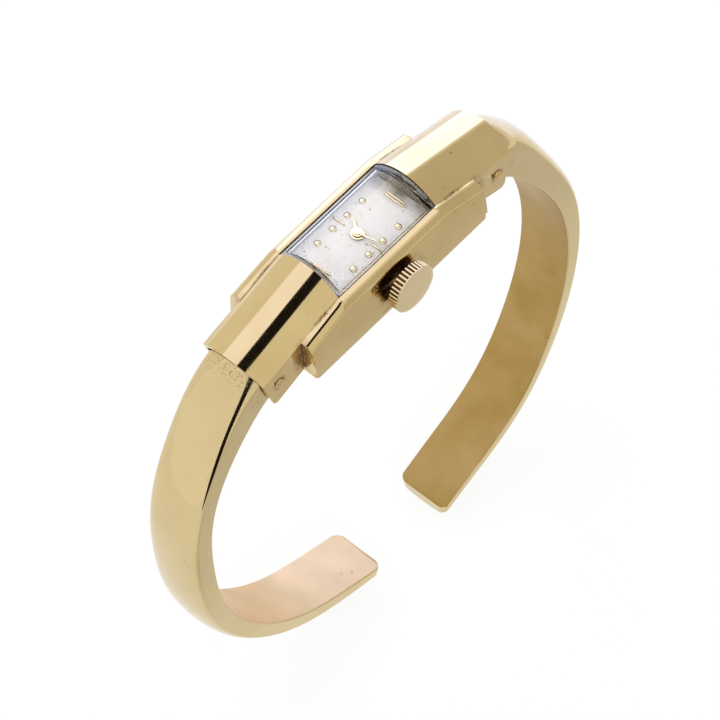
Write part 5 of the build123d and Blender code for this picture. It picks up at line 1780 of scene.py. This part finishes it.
@dataclass
class Studio:
    """The camera at the photograph's angle, a pale floor and plain soft light.

    Cards that only show in reflections give the gold its dark line and light panels.
    Lengths are in millimetres, and a tone is light in each colour, where 1 is white.
    """

    camera_place: Point = (159.61, -148.61, 315.30)
    camera_right: Point = (0.74123626, 0.66852322, -0.06037807)
    camera_down: Point = (0.53561225, -0.64328, -0.54709264)
    camera_forward: Point = (-0.40458414, 0.37318567, -0.83489169)
    focal_pixels: float = 4090.0
    image_pixels: float = 720.0
    floor_height: float = -49.2
    distance: float = 420.0
    slit_foot: float = 95.0
    surround: float = 0.95
    floor_white: float = 0.88
    floor_size: float = 3000.0
    dark_tone: Colour = (0.012, 0.012, 0.012)
    grey_tone: Colour = (0.73, 0.71, 0.68)
    white_tone: Colour = (1.09, 1.08, 1.1)
    window_tone: Colour = (1.75, 2.15, 3.5)
    top_tone: Colour = (1.38, 1.42, 1.85)
    left_tone: Colour = (1.22, 1.3, 1.7)

    def build_camera(self) -> None:
        """Sets the camera."""
        data = bpy.data.cameras.new("photograph_camera")
        data.sensor_width = 36.0
        data.sensor_fit = "HORIZONTAL"
        data.lens = self.focal_pixels / self.image_pixels * data.sensor_width
        data.clip_start, data.clip_end = 0.01, 20.0
        camera = bpy.data.objects.new("photograph_camera", data)
        turn = Matrix((self.camera_right, [-v for v in self.camera_down],
                       [-v for v in self.camera_forward])).transposed()
        place = Matrix.Translation(Vector(self.camera_place) * MM)
        camera.matrix_world = place @ turn.to_4x4()
        bpy.context.scene.collection.objects.link(camera)
        bpy.context.scene.camera = camera

    def build_floor(self) -> None:
        """Makes the floor, nearly white to the eye and in reflections."""
        recipe = Recipe("pale_floor")
        share = recipe.math("MULTIPLY", recipe.seen_plainly(), self.floor_white)
        plain = recipe.add("ShaderNodeBsdfDiffuse")
        plain.inputs["Color"].default_value = (0.9, 0.9, 0.9, 1)
        glow = recipe.light("ShaderNodeEmission", (1, 1, 1), 1.0)
        size, z = self.floor_size, self.floor_height
        floor = box("floor", (-size, -size, z - 5), (size, size, z))
        floor.data.materials.append(recipe.finish(recipe.mix(share, plain, glow)))

    def glow(self, name: str, tone: Colour, soft: float) -> Material:
        """Returns a card's even glow, which fades out towards its edges.

        Args:
            name: The material's name.
            tone: Its light in each colour, where 1 is white.
            soft: The share of the card over which it fades.

        Returns:
            The material.
        """
        recipe = Recipe(name)
        shares = []
        for part in recipe.parts(recipe.add("ShaderNodeUVMap").outputs[0])[:2]:
            off = recipe.math("ABSOLUTE", recipe.math("SUBTRACT", part, 0.5))
            shares.append(recipe.between(off, 0.5 - max(soft, 0.001), 0.5, 1.0, 0.0))
        share = recipe.math("MULTIPLY", *shares)
        tint = tuple(value / max(tone) for value in tone)
        glow = recipe.light("ShaderNodeEmission", tint, max(tone))
        clear = recipe.add("ShaderNodeBsdfTransparent")
        return recipe.finish(recipe.mix(share, clear, glow))

    def hang(self, name: str, rows: list[list[Point]], tone: Colour,
             soft: float) -> None:
        """Hangs a card that only shows in reflections.

        Args:
            name: The card's name.
            rows: A grid of points in millimetres.
            tone: Its light in each colour, where 1 is white.
            soft: The share of the card over which it fades at its edges.
        """
        across = len(rows[0])
        points = [tuple(v * MM for v in point) for row in rows for point in row]
        faces = []
        for i in range(len(rows) - 1):
            for k in range(across - 1):
                low = i * across + k
                faces.append([low, low + 1, low + across + 1, low + across])
        mesh = bpy.data.meshes.new(name)
        mesh.from_pydata(points, [], faces)
        layer = mesh.uv_layers.new(name="card")
        for loop in mesh.loops:
            i, k = divmod(loop.vertex_index, across)
            layer.data[loop.index].uv = (k / (across - 1), i / (len(rows) - 1))
        mesh.materials.append(self.glow(name, tone, soft))
        card = new_piece(name, mesh)
        card.visible_camera = card.visible_diffuse = card.visible_shadow = False
        card.visible_transmission = False

    def toward(self, azimuth: float, elevation: float) -> Vector:
        """Returns the way from the watch to a direction in degrees."""
        turn, rise = math.radians(azimuth), math.radians(elevation)
        return Vector((math.cos(rise) * math.cos(turn), math.cos(rise) * math.sin(turn),
                       math.sin(rise)))

    def wall(self, name: str, azimuths: Flat, elevations: Flat, tone: Colour,
             soft: float, steps: int = 16) -> None:
        """Hangs a curved card between two directions and two elevations.

        Args:
            name: The card's name.
            azimuths: Its ends about the watch in degrees.
            elevations: Its foot and top in degrees.
            tone: Its light in each colour, where 1 is white.
            soft: The share of the card over which it fades at its edges.
            steps: How many faces it has each way.
        """
        rows = []
        for elevation in np.linspace(*elevations, steps + 1):
            rows.append([tuple(self.toward(azimuth, elevation) * self.distance)
                         for azimuth in np.linspace(*azimuths, steps + 1)])
        self.hang(name, rows, tone, soft)

    def card(self, name: str, direction: Point, width: float, height: float,
             tone: Colour, soft: float) -> None:
        """Hangs a flat card square to one direction.

        Args:
            name: The card's name.
            direction: Which way it hangs from the watch.
            width: Its width in millimetres.
            height: Its height in millimetres.
            tone: Its light in each colour, where 1 is white.
            soft: The share of the card over which it fades at its edges.
        """
        away = Vector(direction).normalized()
        across = Vector((0, 1, 0)).cross(away).normalized()
        up = away.cross(across)
        rows = []
        for high in (-0.5, 0.5):
            middle = away * self.distance + up * high * height
            rows.append([tuple(middle + across * side * width)
                         for side in (-0.5, 0.5)])
        self.hang(name, rows, tone, soft)

    def mat(self, name: str, low: Flat, high: Flat, tone: Colour,
            soft: float) -> None:
        """Lays a card on the floor.

        Args:
            name: The card's name.
            low: Its lowest X and Y in millimetres.
            high: Its highest X and Y.
            tone: Its light in each colour, where 1 is white.
            soft: The share of the card over which it fades at its edges.
        """
        z = self.floor_height + 0.1
        rows = [[(x, y, z) for x in (low[0], high[0])] for y in (low[1], high[1])]
        self.hang(name, rows, tone, soft)

    def slit(self, name: str, azimuth: float, low: float, high: float,
             half_angle: float, tone: Colour) -> None:
        """Hangs the dark upright slit that the camera looks through.

        It widens below 30 degrees, where it comes down to its foot on the floor.

        Args:
            name: The slit's name.
            azimuth: Its direction about the watch in degrees.
            low: The elevation of its foot.
            high: The elevation of its top.
            half_angle: Half its width in degrees.
            tone: Its light in each colour, where 1 is white.
        """
        steps, widest, wide_below, before = 24, 1.5, 30.0, 10.0
        across = self.toward(azimuth + 90.0, 0.0)
        reach = math.tan(math.radians(half_angle)) * self.distance
        rows = []
        for elevation in np.linspace(low, high, steps + 1):
            way = self.toward(azimuth, elevation) * (self.distance - before)
            share = max(0.0, 1.0 - max(elevation, 0.0) / wide_below)
            wide = reach * (1.0 + (widest - 1.0) * share)
            rows.append([tuple(way + across * side * wide) for side in (-1, 1)])
        self.hang(name, rows, tone, 0.0)
        rows = []
        for away in (self.slit_foot, self.distance):
            middle = self.toward(azimuth, 0.0) * away
            middle.z = self.floor_height + 0.2
            wide = reach * widest * away / self.distance
            rows.append([tuple(middle + across * side * wide) for side in (-1, 1)])
        self.hang(name + "_foot", rows, tone, 0.0)

    def lamp(self, name: str, place: Point, size: Flat, power: float) -> None:
        """Adds a soft box that points at the watch.

        Args:
            name: The lamp's name.
            place: Where it stands in millimetres.
            size: Its width and height in millimetres.
            power: Its power in watts.
        """
        data = bpy.data.lights.new(name, "AREA")
        data.shape, data.size, data.size_y = "RECTANGLE", size[0] * MM, size[1] * MM
        data.energy = power
        lamp = bpy.data.objects.new(name, data)
        lamp.visible_glossy = False
        where = Vector(place) * MM
        turn = where.to_track_quat("Z", "Y").to_matrix()
        lamp.matrix_world = Matrix.Translation(where) @ turn.to_4x4()
        bpy.context.scene.collection.objects.link(lamp)

    def build_world(self) -> None:
        """Sets a white surround for the eye and mirrors, and a grey one for light."""
        world = bpy.data.worlds.new("white_room")
        bpy.context.scene.world = world
        world.use_nodes = True
        room = Wiring(world.node_tree)
        shade = room.light("ShaderNodeBackground", (1, 1, 1), self.surround)
        white = room.light("ShaderNodeBackground", (1, 1, 1), 1.0)
        output = room.add("ShaderNodeOutputWorld")
        room.join(room.mix(room.seen_plainly(), shade, white), output.inputs["Surface"])

    def build(self) -> None:
        """Sets up the whole studio."""
        self.build_camera()
        self.build_world()
        self.build_floor()
        grey, white = self.grey_tone, self.white_tone
        self.slit("camera_slit", -42.0, -7.0, 97.0, 7.6, self.dark_tone)
        self.wall("window", (112.6, 160.0), (-8.0, 47.0), self.window_tone, 0.06)
        self.wall("right_grey_wall", (4.0, 111.5), (-1.0, 54.0), grey, 0.04)
        self.wall("front_wall", (-150.0, -50.5), (-7.5, 62.0), white, 0.02)
        self.card("top_soft_box", (-0.29, 0.06, 0.955), 430.0, 470.0,
                  self.top_tone, 0.07)
        self.mat("front_table", (-330.0, -640.0), (130.0, -150.0), white, 0.02)
        self.mat("right_table", (7.0, -60.0), (330.0, 330.0), grey, 0.05)
        self.mat("left_table", (-400.0, 15.0), (-12.0, 400.0), self.left_tone, 0.1)
        self.lamp("key_soft_box", (-350, 120, 480), (420, 420), 1.3)
        self.lamp("fill_soft_box", (420, -260, 300), (380, 380), 0.6)
        bpy.context.scene.view_settings.view_transform = "Standard"


ARM_12_SHARES = [
    (0.068, -0.021, 0.93, 1.00), (0.333, 0.0074, 0.98, 1.00),
    (0.440, 0.041, 0.98, 0.97), (0.544, 0.084, 0.92, 0.93), (0.647, 0.130, 0.84, 0.88),
    (0.757, 0.188, 0.76, 0.84), (0.916, 0.295, 0.67, 0.79), (1.000, 0.440, 0.55, 0.76),
    (0.961, 0.568, 0.46, 0.76), (0.750, 0.733, 0.40, 0.76), (0.313, 0.887, 0.34, 0.74),
    (-0.285, 0.969, 0.26, 0.70), (-0.526, 1.000, 0.22, 0.70),
]
ARM_6_SHARES = [
    (0.067, -0.022, 0.93, 1.00), (0.323, 0.002, 0.98, 1.00), (0.459, 0.033, 0.96, 0.95),
    (0.612, 0.074, 0.82, 0.88), (0.755, 0.125, 0.69, 0.82), (0.862, 0.178, 0.63, 0.78),
    (0.950, 0.250, 0.60, 0.76), (1.000, 0.395, 0.61, 0.76), (0.941, 0.590, 0.57, 0.76),
    (0.677, 0.762, 0.50, 0.76), (0.182, 0.905, 0.45, 0.74), (-0.138, 0.952, 0.40, 0.72),
    (-0.548, 1.000, 0.27, 0.70),
]


def main() -> None:
    """Builds the watch and its studio, and reports each piece."""
    logging.basicConfig(level=logging.INFO, format="%(name)s %(message)s")
    Studio().build()
    palette = Palette()
    case = Case()
    case.build_band(palette)
    case.build_back(palette)
    for side in (1, -1):
        Hood(side).build(palette)
        Rivet(side).build(palette)
    Arm(1, 13.73, 47.5, ARM_12_SHARES, tip_slant=0.34).build(palette)
    Arm(-1, 13.88, 46.05, ARM_6_SHARES).build(palette)
    Glass().build(palette)
    Crown().build(palette)
    dial = DialSet()
    dial.build_dots(palette)
    dial.build_bars(palette)
    dial.build_hands(palette)
    replaced = {node for piece in bpy.data.objects
                for node in piece.get("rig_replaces", [])}
    paint_nodes(palette, replaced)


if __name__ == "__main__":
    main()
